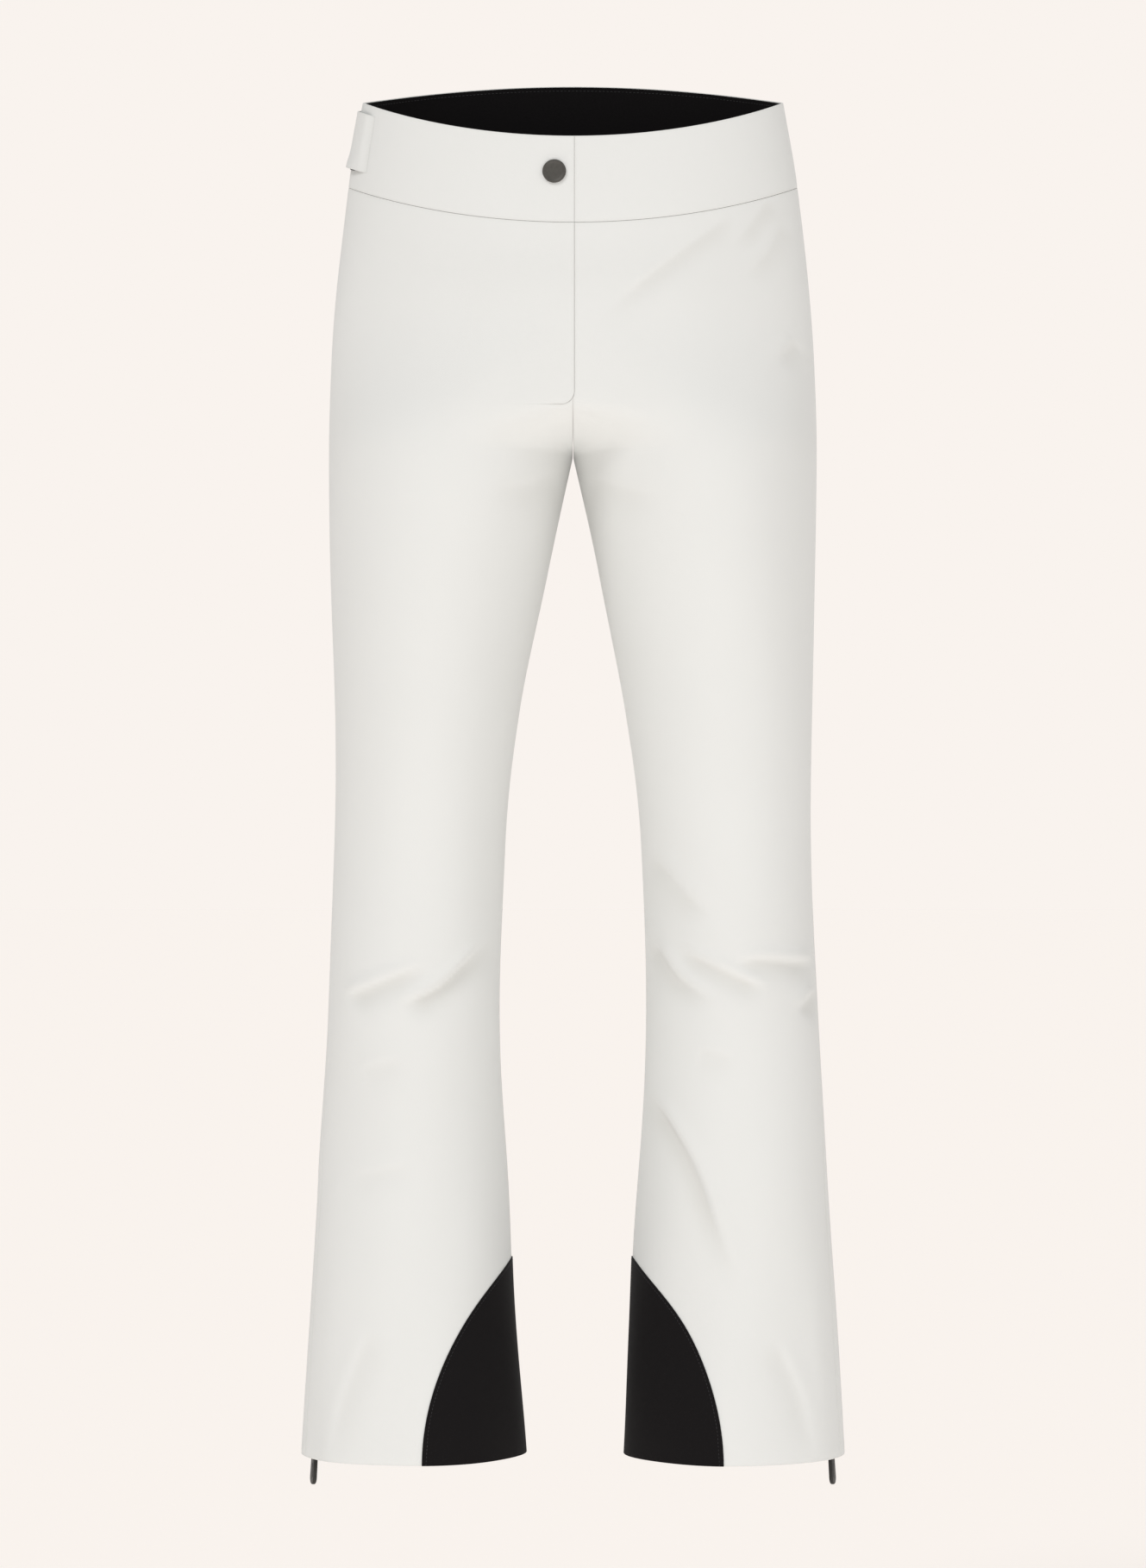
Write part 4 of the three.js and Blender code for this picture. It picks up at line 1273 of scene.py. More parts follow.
@dataclass
class Waistband:
    """The band's outer pieces, their black linings and the underlap behind the snap."""

    height: float = 65
    lining: float = 0.8
    lining_depth: float = 1.5
    underlap_depth: float = 5.1
    rows: int = 26

    def levels(self, inset: float) -> Array:
        """Row levels of a band piece."""
        total = self.height - SKIN.seam_gap / 2 - 2 * inset
        return -inset - spaced(total, self.rows)

    def front(self, side: Side, end_x: float, inset: float, joined: bool) -> Lay:
        """A front band piece's grid, from the outseam to an x.

        Args:
            side: Which side.
            end_x: Distance of its inner end from the centre line.
            inset: How far its edges lie inside the outer band's.
            joined: Whether its inner end runs on into the next piece.

        Returns:
            The grid.
        """
        level = self.levels(inset)
        first = SKIN.beside_outseam(level, Face.FRONT, SKIN.seam_gap / 2 + inset)
        last = SKIN.angle_at_x(level, end_x)
        places = lambda d: spaced(d, 64, True, not joined)
        angle, across = row_angles(side.value, level, first, last, places)
        beside = across if joined else np.minimum(across, across[:, -1:] - across)
        edge = np.minimum(beside, self.ends(level))
        return Lay(side.value, level[:, None], angle, edge, across)

    def ends(self, level: Array) -> Array:
        """Distance to the upper and lower edges."""
        return from_ends(level)[:, None]

    def back(self, inset: float) -> Lay:
        """The back band's grid, from one outseam round to the other."""
        level = self.levels(inset)
        first = SKIN.beside_outseam(level, Face.BACK, SKIN.seam_gap / 2 + inset)
        middle = np.full_like(first, -math.pi / 2)
        half = lambda d: spaced(d, 60, True, False)
        angle, across = row_angles(1, level, first, middle, half)
        total = across[:, -1:]
        angles = np.concatenate([angle, angle[:, -2::-1]], 1)
        run = np.concatenate([across, 2 * total - across[:, -2::-1]], 1)
        side = np.where(np.arange(angles.shape[1]) < angle.shape[1] - 1, -1, 1)[None]
        edge = np.minimum(np.minimum(run, 2 * total - run), self.ends(level))
        return Lay(side, level[:, None], angles, edge, run)

    def strip(self, x: Array, level: Array, edge: Array) -> Lay:
        """A grid between x places on the front."""
        grid_x = np.broadcast_to(x[None], (len(level), len(x)))
        grid_level = np.broadcast_to(level[:, None], grid_x.shape)
        side, angle = front_place(grid_x, grid_level)
        return Lay(side, grid_level, angle, edge, grid_x - x[0])

    def overlap(self) -> None:
        """The band's free end over the fly, whose cloth runs on from the right front."""
        x = FLY_JOIN_X + spaced(FLY_EDGE_X - FLY_JOIN_X, 34, False, True)
        level = self.levels(0)
        edge = np.minimum((FLY_EDGE_X - x)[None], self.ends(level))
        lay = self.strip(x, level, edge)
        Sewn("waistband_overlap", lay.cloth(0, CLOTH, 0.12), SHELL, "shell_fabric",
             blend=fly_blend(-self.height / 2), rests_on=("waistband_underlap",)).make()
        x = FLY_FOLD_X + FLY_GAP / 2 + 1 + spaced(FLY_EDGE_X - FLY_FOLD_X - 2.3, 24)
        level = np.linspace(-1, -self.height + 1.15, 20)
        beside = from_ends(x)[None]
        lay = self.strip(x, level, np.minimum(beside, self.ends(level)))
        cloth = lay.cloth(self.lining_depth, self.lining_depth + LINING_THICK)
        Sewn("waistband_overlap_lining", cloth, BLACK, "black_fabric", body="fly_flap").make()

    def underlap(self) -> None:
        """The black extension that carries the stud."""
        x = FLY_FOLD_X - 2 + spaced(FLY_EDGE_X - FLY_FOLD_X + 21, 40)
        level = -3 - spaced(self.height - 6, 24)
        depth = eased(FLY_EDGE_X + 13, FLY_EDGE_X + 2, 3, self.underlap_depth, x)[None]
        beside = from_ends(x)[None]
        lay = self.strip(x, level, np.minimum(beside, self.ends(level)))
        Sewn("waistband_underlap", lay.cloth(depth, depth + CLOTH), BLACK, "black_fabric",
             rests_on=("waistband_front_left",)).make()

    def build(self) -> None:
        """Makes the band."""
        edge_x = FLY_EDGE_X + FLY_GAP
        fold_x = -FLY_FOLD_X + FLY_GAP / 2
        fine = dict(finish=SHELL, slot="shell_fabric", rests_on=())
        right = self.front(Side.RIGHT, -FLY_JOIN_X, 0, True).cloth(0, CLOTH, 0.14)
        left = self.front(Side.LEFT, edge_x, 0, False).cloth(0, CLOTH, 0.14)
        Sewn("waistband_front_right", right, **fine).make()
        Sewn("waistband_front_left", left, **fine).make()
        Sewn("waistband_back", self.back(0).cloth(0, CLOTH, 0.14), **fine).make()
        near, far = self.lining_depth, self.lining_depth + self.lining
        dark = dict(finish=BLACK, slot="black_fabric", rests_on=("waistband_back",))
        right = self.front(Side.RIGHT, fold_x + 0.5, 0.5, False).cloth(near, far)
        left = self.front(Side.LEFT, edge_x + 0.5, 0.5, False).cloth(near, far)
        Sewn("waistband_lining_front_right", right, **dark).make()
        Sewn("waistband_lining_front_left", left, **dark).make()
        Sewn("waistband_lining_back", self.back(0.5).cloth(near, far), **dark).make()
        self.overlap()
        self.underlap()


def fly_blend(z: float) -> tuple:
    """Where cloth changes from the right front to the fly flap."""
    start = np.array([FLY_FOLD_X - BEND, -SKIN.waist_front, z])
    return ("fly_flap", start, start + [2 * BEND, 0, 0])


@dataclass
class Fly:
    """The flap over the fly, the zip behind it and the shield behind the zip."""

    zip_x: float = -16
    zip_gap: float = 1.6
    tape: float = 0.6
    tape_depth: float = 3.6
    zip_top: float = 108
    flap_long: float = 173
    pitch: float = 1.5
    proud: float = 0.35
    shield_depth: float = 7.4

    def level_for(self, z: float) -> float:
        """The level whose row passes a height at the middle of the front."""
        level = z
        for _ in range(30):
            level += z - (level + float(SKIN.tilt(np.array(math.pi / 2), np.array(level))))
        return level

    def flap(self) -> None:
        """The flap's cloth, from the right front to its free edge and round its corner."""
        x = FLY_JOIN_X + spaced(FLY_EDGE_X - FLY_JOIN_X, 36, False, True)
        top = Body().top
        share = spaced(self.flap_long, 58)[:, None] / self.flap_long
        inside = smoothstep(-30, -14, x)
        bottom = fly_floor(x, 0) - (FLY_GAP - 0.03) * (1 - inside)
        level = top + (bottom - top)[None] * share
        side, angle = front_place(np.broadcast_to(x[None], level.shape), level)
        low = (level - bottom[None]) + 8 * (1 - inside)
        edge = np.minimum(np.minimum((FLY_EDGE_X - x)[None], top - level), low)
        lay = Lay(side, level, angle, edge, np.broadcast_to((x - x[0])[None], level.shape))
        depth = -self.proud * smoothstep(-14, -4, x)[None] * np.ones_like(level)
        Sewn("fly_flap", lay.cloth(depth, depth + CLOTH, 0.12), SHELL, "shell_fabric",
             blend=fly_blend(-150), rests_on=("fly_flap_facing",)).make()

    def strip(
        self, name: str, x: Array, top: float, foot: float, depth: Array, kind: tuple
    ) -> None:
        """Makes a strip behind the fly.

        Args:
            name: The piece's name.
            x: Signed x of its columns.
            top: Its upper level.
            foot: Its lower level.
            depth: Depth at each column.
            kind: Finish, slot, body and thickness.
        """
        finish, slot, body, thick = kind
        level = top - spaced(top - foot, 50)
        grid = np.broadcast_to(x[None], (len(level), len(x)))
        levels = np.broadcast_to(level[:, None], grid.shape)
        side, angle = front_place(grid, levels)
        beside = from_ends(x)[None]
        ends = np.minimum(top - level, level - foot)[:, None]
        lay = Lay(side, levels, angle, np.minimum(beside, ends), grid - x[0])
        cloth = lay.cloth(depth[None], depth[None] + thick)
        Sewn(name, cloth, finish, slot, body=body).make()

    def facing(self) -> None:
        """The dark facing behind the flap, with the flap's own outline."""
        x = FLY_FOLD_X + FLY_GAP / 2 + 1 + spaced(FLY_EDGE_X - FLY_FOLD_X - 2.3, 30)
        top = Body().top - 0.6
        bottom = fly_floor(x, -1)
        level = top + (bottom - top)[None] * np.linspace(0, 1, 50)[:, None]
        side, angle = front_place(np.broadcast_to(x[None], level.shape), level)
        beside = from_ends(x)[None]
        edge = np.minimum(beside, np.minimum(top - level, level - bottom[None]))
        lay = Lay(side, level, angle, edge, np.broadcast_to((x - x[0])[None], level.shape))
        cloth = lay.cloth(CLOTH + 0.3, CLOTH + 0.3 + LINING_THICK)
        Sewn("fly_flap_facing", cloth, LINING, "lining_fabric", body="fly_flap").make()

    def build(self) -> None:
        """Makes the fly."""
        self.flap()
        self.facing()
        top = self.level_for(-self.zip_top + 2)
        foot = self.level_for(-FLY_BOTTOM + 10)
        tape = (LIGHT_TAPE, "zip_tape_light", "pants_body", self.tape)
        right = self.zip_x - 30 + spaced(30 - self.zip_gap / 2, 30)
        depth = eased(FLY_FOLD_X - 8, FLY_FOLD_X + 4, 1.9, self.tape_depth, right)
        self.strip("fly_zip_tape_right", right, top, foot, depth, tape)
        left_edge = self.zip_x + self.zip_gap / 2
        left = left_edge + spaced(FLY_EDGE_X + 14 - left_edge, 30)
        depth = eased(FLY_EDGE_X + 10, FLY_EDGE_X, 1.9, self.tape_depth, left)
        self.strip("fly_zip_tape_left", left, top, foot, depth, tape)
        shield = FLY_FOLD_X + 4 + spaced(FLY_EDGE_X + 11 - FLY_FOLD_X, 34)
        depth = eased(FLY_EDGE_X + 12, FLY_EDGE_X - 1, 2.8, self.shield_depth, shield)
        lining = (LINING, "lining_fabric", "pants_body", LINING_THICK)
        self.strip("fly_shield", shield, top, foot - 1, depth, lining)
        self.chain(top, foot)

    def chain(self, top: float, foot: float) -> None:
        """The two rows of the zip's coil.

        Args:
            top: Upper level.
            foot: Lower level.
        """
        rows = []
        for sign in (-1, 1):
            level = np.linspace(top - 0.5 - 0.25 * sign * self.pitch, foot + 1, 60)
            x = np.full_like(level, self.zip_x + sign * COIL_OFFSET)
            side, angle = front_place(x, level)
            rows.append(path_on(side, level, angle, self.tape_depth + self.tape / 2))
        coil = Row("fly_zip_coil", COIL_LIGHT, Unit.TOOTH, self.pitch, (0.5, 0.42, 0.5))
        made = coil.build(rows)
        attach(made, "pants_body")


# ---- Rows of small pieces ----
@dataclass
class Row:
    """A Geometry Nodes row of one small shape at even spacing along paths on the cloth."""

    name: str
    finish: Finish
    unit: Unit
    spacing: float
    size: tuple[float, float, float]
    seed: int = 7

    def tree(self) -> bpy.types.NodeTree:
        """The node tree, made once for each unit.

        Returns:
            A geometry node tree with named inputs for its sizes.
        """
        key = f"{self.unit.value}_row"
        if key in bpy.data.node_groups:
            return bpy.data.node_groups[key]
        tree = bpy.data.node_groups.new(key, "GeometryNodeTree")
        kinds = {
            "Geometry": "Geometry", "Spacing": "Float", "Size": "Vector", "Seed": "Int",
            "Finish": "Material",
        }
        for name, kind in kinds.items():
            tree.interface.new_socket(name, in_out="INPUT", socket_type=f"NodeSocket{kind}")
        tree.interface.new_socket("Geometry", in_out="OUTPUT", socket_type="NodeSocketGeometry")
        self.wire(tree)
        return tree

    def wire(self, tree: bpy.types.NodeTree) -> None:
        """Adds and links the tree's nodes.

        Args:
            tree: The empty tree.
        """
        add, join = tree.nodes.new, tree.links.new
        given, result = add("NodeGroupInput"), add("NodeGroupOutput")
        curve, even = add("GeometryNodeMeshToCurve"), add("GeometryNodeResampleCurve")
        even.mode = "LENGTH"
        join(given.outputs["Geometry"], curve.inputs["Mesh"])
        join(curve.outputs[0], even.inputs["Curve"])
        join(given.outputs["Spacing"], even.inputs["Length"])
        up = add("GeometryNodeInputNamedAttribute")
        up.data_type = "FLOAT_VECTOR"
        up.inputs["Name"].default_value = "up"
        align = "FunctionNodeAlignRotationToVector"
        along, upright = add(align), add(align)
        along.axis, upright.axis, upright.pivot_axis = "X", "Z", "X"
        join(add("GeometryNodeInputTangent").outputs[0], along.inputs["Vector"])
        join(along.outputs[0], upright.inputs["Rotation"])
        join(up.outputs["Attribute"], upright.inputs["Vector"])
        uneven = add("FunctionNodeRandomValue")
        uneven.data_type = "FLOAT"
        uneven.inputs[2].default_value, uneven.inputs[3].default_value = 0.92, 1.06
        join(given.outputs["Seed"], uneven.inputs["Seed"])
        scale = add("ShaderNodeVectorMath")
        scale.operation = "SCALE"
        join(given.outputs["Size"], scale.inputs[0])
        join(uneven.outputs[1], scale.inputs["Scale"])
        spread = add("GeometryNodeInstanceOnPoints")
        join(even.outputs[0], spread.inputs["Points"])
        join(self.shape(tree), spread.inputs["Instance"])
        join(upright.outputs[0], spread.inputs["Rotation"])
        join(scale.outputs[0], spread.inputs["Scale"])
        real, dress = add("GeometryNodeRealizeInstances"), add("GeometryNodeSetMaterial")
        join(spread.outputs[0], real.inputs[0])
        join(real.outputs[0], dress.inputs["Geometry"])
        join(given.outputs["Finish"], dress.inputs["Material"])
        join(dress.outputs[0], result.inputs[0])

    def shape(self, tree: bpy.types.NodeTree) -> bpy.types.NodeSocket:
        """The unit's shape, one metre in radius before its size is applied."""
        if self.unit is Unit.HOOK:
            cone = tree.nodes.new("GeometryNodeMeshCone")
            cone.inputs["Vertices"].default_value = 5
            cone.inputs["Radius Top"].default_value = 0.5
            cone.inputs["Radius Bottom"].default_value = 1.0
            cone.inputs["Depth"].default_value = 2.0
            return cone.outputs["Mesh"]
        ball = tree.nodes.new("GeometryNodeMeshUVSphere")
        ball.inputs["Segments"].default_value = 8 if self.unit is Unit.TOOTH else 6
        ball.inputs["Rings"].default_value = 5 if self.unit is Unit.TOOTH else 4
        return ball.outputs["Mesh"]

    def build(self, paths: list[tuple[Array, Array]]) -> bpy.types.Object:
        """Sets the row along paths.

        Args:
            paths: Points in millimetres with the cloth's direction outwards at each.

        Returns:
            The row as one plain mesh.
        """
        points = np.concatenate([p for p, _ in paths])
        ups = np.concatenate([u for _, u in paths])
        edges, start = [], 0
        for path, _ in paths:
            edges += [(start + i, start + i + 1) for i in range(len(path) - 1)]
            start += len(path)
        guide_mesh = bpy.data.meshes.new(f"{self.name}_guide")
        guide_mesh.from_pydata((points * MM).tolist(), edges, [])
        up = guide_mesh.attributes.new("up", "FLOAT_VECTOR", "POINT")
        up.data.foreach_set("vector", ups.astype(np.float32).ravel())
        guide = bpy.data.objects.new(f"{self.name}_guide", guide_mesh)
        bpy.context.scene.collection.objects.link(guide)
        modifier = guide.modifiers.new("row", "NODES")
        modifier.node_group = self.tree()
        values = {
            "Spacing": self.spacing * MM,
            "Size": tuple(s * MM for s in self.size),
            "Seed": self.seed,
            "Finish": self.finish.material(),
        }
        for item in modifier.node_group.interface.items_tree:
            if item.in_out == "INPUT" and item.name in values:
                modifier[item.identifier] = values[item.name]
        seen = guide.evaluated_get(bpy.context.evaluated_depsgraph_get())
        mesh = bpy.data.meshes.new_from_object(seen)
        mesh.name = self.name
        mesh.shade_smooth()
        bpy.data.objects.remove(guide)
        made = bpy.data.objects.new(self.name, mesh)
        bpy.context.scene.collection.objects.link(made)
        return made


# ---- Hardware shapes ----
@dataclass
class Shape:
    """Points and faces of small rigid parts, in a frame on the cloth: Y out of it and Z up it."""

    points: list = field(default_factory=list)
    faces: list = field(default_factory=list)

    def add(self, points: Array, faces: list) -> None:
        """Adds one closed part.

        Args:
            points: Its points, in the local frame.
            faces: Its faces, numbered from its own first point.
        """
        start = len(self.points)
        self.points += [tuple(p) for p in points]
        self.faces += [[start + i for i in face] for face in faces]

    def rings(self, rings: list[Array], closed: bool = False) -> None:
        """Adds a part made of rings of points, capped at both ends or closed on itself.

        Args:
            rings: Rings with the same number of points each.
            closed: Whether the last ring joins the first instead of both being capped.
        """
        n, count = len(rings[0]), len(rings)
        faces = []
        for r in range(count if closed else count - 1):
            low, high = r * n, (r + 1) % count * n
            faces += [[low + i, low + (i + 1) % n, high + (i + 1) % n, high + i] for i in range(n)]
        if not closed:
            faces.append(list(range(n))[::-1])
            faces.append([(count - 1) * n + i for i in range(n)])
        points = np.concatenate(rings)
        if signed_volume(points, faces) < 0:
            faces = [face[::-1] for face in faces]
        self.add(points, faces)

    def plate(self, outline: Array, low: float, high: float, bevel: float) -> None:
        """Adds a plate with softened edges.

        Args:
            outline: Its outline in X and Z, running one way round.
            low: Its lower Y.
            high: Its upper Y.
            bevel: How far its edges are rounded.
        """
        nxt, prev = np.roll(outline, -1, 0), np.roll(outline, 1, 0)
        along = nxt - prev
        inward = np.stack([-along[:, 1], along[:, 0]], 1)
        inward /= np.linalg.norm(inward, axis=1, keepdims=True)
        area = (outline[:, 0] * nxt[:, 1] - nxt[:, 0] * outline[:, 1]).sum()
        inward *= math.copysign(1, area)
        rings = []
        for turn in (0, 30, 60, 90):
            inset = bevel * (1 - math.sin(math.radians(turn)))
            y = low + bevel * (1 - math.cos(math.radians(turn)))
            rings.append((inset, y))
        rings += [(inset, low + high - y) for inset, y in rings[::-1]]
        made = []
        for inset, y in rings:
            flat = outline + inward * inset
            made.append(np.stack([flat[:, 0], np.full(len(flat), y), flat[:, 1]], 1))
        self.rings(made)

    def lathe(self, profile: list[tuple[float, float]], segments: int = 64) -> None:
        """Adds a part turned about Y.

        Args:
            profile: (radius, height) points that start and end on the axis.
            segments: How many points each ring has.
        """
        turn = np.linspace(0, 2 * math.pi, segments, endpoint=False)
        rings = []
        for radius, height in profile:
            r = max(radius, 0.02)
            ring = [r * np.cos(turn), np.full(segments, height), r * np.sin(turn)]
            rings.append(np.stack(ring, 1))
        self.rings(rings)

    def wire_ring(self, centre: tuple[float, float, float], radius: float, wire: float) -> None:
        """Adds a wire ring in the YZ plane."""
        turn = np.linspace(0, 2 * math.pi, 28, endpoint=False)
        round_wire = np.linspace(0, 2 * math.pi, 10, endpoint=False)
        rings = []
        for t in turn:
            reach = radius + wire * np.cos(round_wire)
            ring = [wire * np.sin(round_wire), reach * math.cos(t), reach * math.sin(t)]
            rings.append(np.stack(ring, 1) + np.array(centre))
        self.rings(rings, closed=True)

    def build(self, name: str, finish: Finish, spot: "Spot") -> bpy.types.Object:
        """Makes the parts as one piece, set in its place on the cloth.

        Args:
            name: The piece's name.
            finish: What it is dressed in.
            spot: Where the local frame lies.

        Returns:
            The object.
        """
        made = mesh_object(name, spot.place(np.array(self.points)), self.faces, finish)
        made.data.set_sharp_from_angle(angle=math.radians(42))
        return made


def signed_volume(points: Array, faces: list) -> float:
    """Six times the volume that the faces close, negative when they are inside out."""
    total = 0.0
    for face in faces:
        a = points[face[0]]
        for i in range(1, len(face) - 1):
            total += float(np.dot(a, np.cross(points[face[i]], points[face[i + 1]])))
    return total


def rounded_box(width: float, tall: float, radius: float, z: float = 0.0, steps: int = 5) -> Array:
    """Outline of a rectangle with round corners, in X and Z."""
    points = []
    for k, (sx, sz) in enumerate(((1, 1), (-1, 1), (-1, -1), (1, -1))):
        centre = np.array([sx * (width / 2 - radius), sz * (tall / 2 - radius) + z])
        for a in np.linspace(k * math.pi / 2, (k + 1) * math.pi / 2, steps):
            points.append(centre + radius * np.array([math.cos(a), math.sin(a)]))
    return np.array(points)


@dataclass(frozen=True)
class Spot:
    """A frame on the skin: Y points out of the cloth and Z runs up it."""

    origin: Array
    axes: Array

    @classmethod
    def on(cls, side: int, level: float, angle: float, depth: float) -> "Spot":
        """The frame at a level, an angle and a depth."""
        level, angle = np.array(level, float), np.array(angle, float)
        out = SKIN.outward(side, level, angle)
        up = SKIN.point(side, level + 1, angle) - SKIN.point(side, level - 1, angle)
        up = up - out * (up @ out)
        up /= np.linalg.norm(up)
        origin = SKIN.point(side, level, angle) - out * depth
        return cls(origin, np.stack([np.cross(out, up), out, up]))

    def place(self, points: Array) -> Array:
        """Points of the local frame, in the garment's."""
        return self.origin + points @ self.axes


@dataclass
class Slider:
    """A zip slider: two plates with flanges, joined by a neck at the top."""

    width: float
    tall: float
    gap: float = 1.6
    plate: float = 0.7
    neck: float = 0.4
    flange: float = 0.28

    def shape(self) -> Shape:
        """The slider's parts."""
        made = Shape()
        half = self.gap / 2
        outline = rounded_box(self.width, self.tall, 2.0)
        made.plate(outline, half, half + self.plate, 0.2)
        made.plate(outline, -half - self.plate, -half, 0.2)
        neck = rounded_box(self.neck, 2.4, 0.15, (self.tall - 2.4) / 2)
        made.plate(neck, -half - 0.1, half + 0.1, 0.05)
        for sign in (-1, 1):
            rib = rounded_box(0.6, self.tall - 3.4, 0.25) + [sign * (self.width / 2 - 0.5), 0]
            made.plate(rib, half - self.flange, half + 0.1, 0.08)
            made.plate(rib, -half - 0.1, -half + self.flange, 0.08)
        return made


# ---- Hem zips ----
@dataclass
class HemZip:
    """The zip inside each outseam at the hem, with its slider and its long puller."""

    side: Side
    length: float = 160
    gap: float = 1.6
    tape: float = 0.6
    depth: float = 2.9
    width: float = 14
    pitch: float = 1.6
    slider_wide: float = 9
    slider_tall: float = 10
    slider_rise: float = 2
    reach: float = 4
    puller: tuple[float, float, float] = (28, 11, 3)
    neck: float = 4.4

    def strip(self, face: Face) -> None:
        """Makes the tape on one side of the outseam."""
        along = self.gap / 2 + spaced(self.width - self.gap / 2, 26)
        level = SKIN.hem_z + self.length - spaced(self.length - 1, 64)
        angle = SKIN.beside_outseam(level[:, None], face, along[None])
        beside = from_ends(along)[None]
        ends = from_ends(level)[:, None]
        across = np.broadcast_to(along[None], angle.shape)
        lay = Lay(self.side.value, level[:, None], angle, np.minimum(beside, ends), across)
        depth = eased(11, 5, 1.9, self.depth, along)[None]
        name = f"hem_zip_tape_{face.word}_{self.side.word}"
        rests = (f"{face.word}_panel_{self.side.word}",)
        cloth = lay.cloth(depth, depth + self.tape)
        Sewn(name, cloth, DARK_TAPE, "zip_tape_dark", rests_on=rests).make()

    def coil(self) -> None:
        """The two rows of coil along the tapes' edges."""
        rows = []
        for face in Face:
            shift = 0.25 * face.value * self.pitch
            level = np.linspace(SKIN.hem_z + self.length - 0.8 + shift, SKIN.hem_z + 2, 60)
            angle = SKIN.beside_outseam(level, face, COIL_OFFSET)
            rows.append(path_on(self.side.value, level, angle, self.depth + self.tape / 2))
        name = f"hem_zip_coil_{self.side.word}"
        made = Row(name, COIL_DARK, Unit.TOOTH, self.pitch, (0.52, 0.42, 0.5)).build(rows)
        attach(made, "pants_body")

    def hardware(self) -> None:
        """The slider with its bail, and the puller that hangs on it."""
        level = SKIN.hem_z + self.slider_rise + self.slider_tall / 2
        spot = Spot.on(self.side.value, level, SKIN.zip_turn, self.depth + self.tape / 2)
        shape = Slider(self.slider_wide, self.slider_tall).shape()
        inner = -self.gap / 2 - 0.7
        pin_y = inner - self.reach + 1
        ear_x = self.neck / 2 + 1.2
        for sign in (-1, 1):
            ear = rounded_box(1.2, 2.6, 0.4) + [sign * ear_x, 0]
            shape.plate(ear, inner - self.reach, inner + 0.15, 0.15)
        bar = rounded_box(2 * ear_x, 1, 0.3)
        shape.plate(bar, pin_y - 0.5, pin_y + 0.5, 0.2)
        word = self.side.word
        slider = shape.build(f"hem_zip_slider_{word}", ZIP_METAL, spot)
        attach(slider, f"hem_zip_slider_{word}")
        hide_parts(f"hem_zip_slider_{word}")
        self.hang_puller(Spot(spot.place(np.array([0, pin_y, 0])), spot.axes))

    def hang_puller(self, spot: Spot) -> None:
        """Makes the puller and the wire loops that carry it.

        Args:
            spot: The frame at the bail's pin.
        """
        length, width, thick = self.puller
        word = self.side.word
        low = -length + width / 2
        turn = np.linspace(math.pi, 2 * math.pi, 17)
        foot = np.stack([width / 2 * np.cos(turn), low + width / 2 * np.sin(turn)], 1)
        left = [
            (-self.neck / 2 + 0.4, -1.9),
            (-self.neck / 2, -2.6),
            (-width * 0.36, -5.5),
            (-width * 0.45, -9),
        ]
        right = [(-x, z) for x, z in left[::-1]]
        outline = np.concatenate([left, foot, right])
        body = Shape()
        body.plate(outline, -thick / 2, thick / 2, 0.9)
        for sign in (-1, 1):
            inset = rounded_box(width * 0.5, length * 0.42, width * 0.24, low + 5)
            y = sign * (thick / 2 - 0.12)
            body.plate(inset, min(y, y + sign * 0.3), max(y, y + sign * 0.3), 0.14)
        made = body.build(f"hem_zip_puller_{word}", PULLER, spot)
        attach(made, f"hem_zip_puller_{word}")
        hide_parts(f"hem_zip_puller_{word}")
        loops = Shape()
        for x in (-1.2, 1.2):
            loops.wire_ring((x, 0, -0.55), 1.45, 0.38)
        ring = loops.build(f"hem_zip_puller_loop_{word}", ZIP_METAL, spot)
        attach(ring, f"hem_zip_puller_{word}")

    def build(self) -> None:
        """Makes the zip."""
        for face in Face:
            self.strip(face)
        self.coil()
        self.hardware()


# ---- Guards ----
@dataclass
class AnkleGuard:
    """The black scuff guard round the inside of each hem."""

    side: Side
    height: float = 150
    half_angle: float = math.radians(83)
    thick: float = 0.8
    stand: float = 0.12
    rows: int = 60
    columns: int = 96
    radius: float = 84  # turns an angle about the inseam into a length

    def outline(self, height: Array) -> Array:
        """Half the guard's width at each height, as an angle about the inseam."""
        return self.half_angle * np.sqrt(1 - (height / self.height) ** 2)

    def place(self, height: Array, turn: Array) -> tuple[Array, Array]:
        """Level and skin angle of places on the guard."""
        angle = np.where(turn > 0, math.pi - turn, -math.pi - turn)
        return SKIN.hem_z + height, angle

    def build(self) -> None:
        """Makes the guard and its edge stitching."""
        share = (1 - spaced(100, self.rows) / 100)[:, None]
        height = self.height * np.sin(share * math.pi / 2) * 0.9985
        half = self.outline(height)
        along = spaced(100, self.columns)[None] / 100 * 2 - 1
        turn = half * along
        level, angle = self.place(height, turn)
        beside = (half - np.abs(turn)) * self.radius
        edge = np.minimum(beside, height)
        lay = Lay(self.side.value, level, angle, edge, turn * self.radius)
        name = f"ankle_guard_{self.side.word}"
        cloth = lay.cloth(-self.stand - self.thick, -self.stand)
        rests = tuple(f"{face.word}_panel_{self.side.word}" for face in Face)
        Sewn(name, cloth, BLACK, "black_fabric", "laid", rests_on=rests).make()
        self.stitches()

    def stitches(self) -> None:
        """A row of black stitches just inside the curved edge."""
        swing = np.linspace(-1, 1, 160)
        height = (self.height - 3.4) * np.sqrt(np.clip(1 - swing**2, 0, 1)) + 1
        turn = (self.half_angle - 3 / self.radius) * swing
        level, angle = self.place(height, turn)
        path = path_on(self.side.value, level, angle, -self.stand - self.thick - 0.04)
        name = f"ankle_guard_stitches_{self.side.word}"
        made = Row(name, BLACK_THREAD, Unit.STITCH, 2.8, (1.05, 0.17, 0.14)).build([path])
        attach(made, "pants_body")


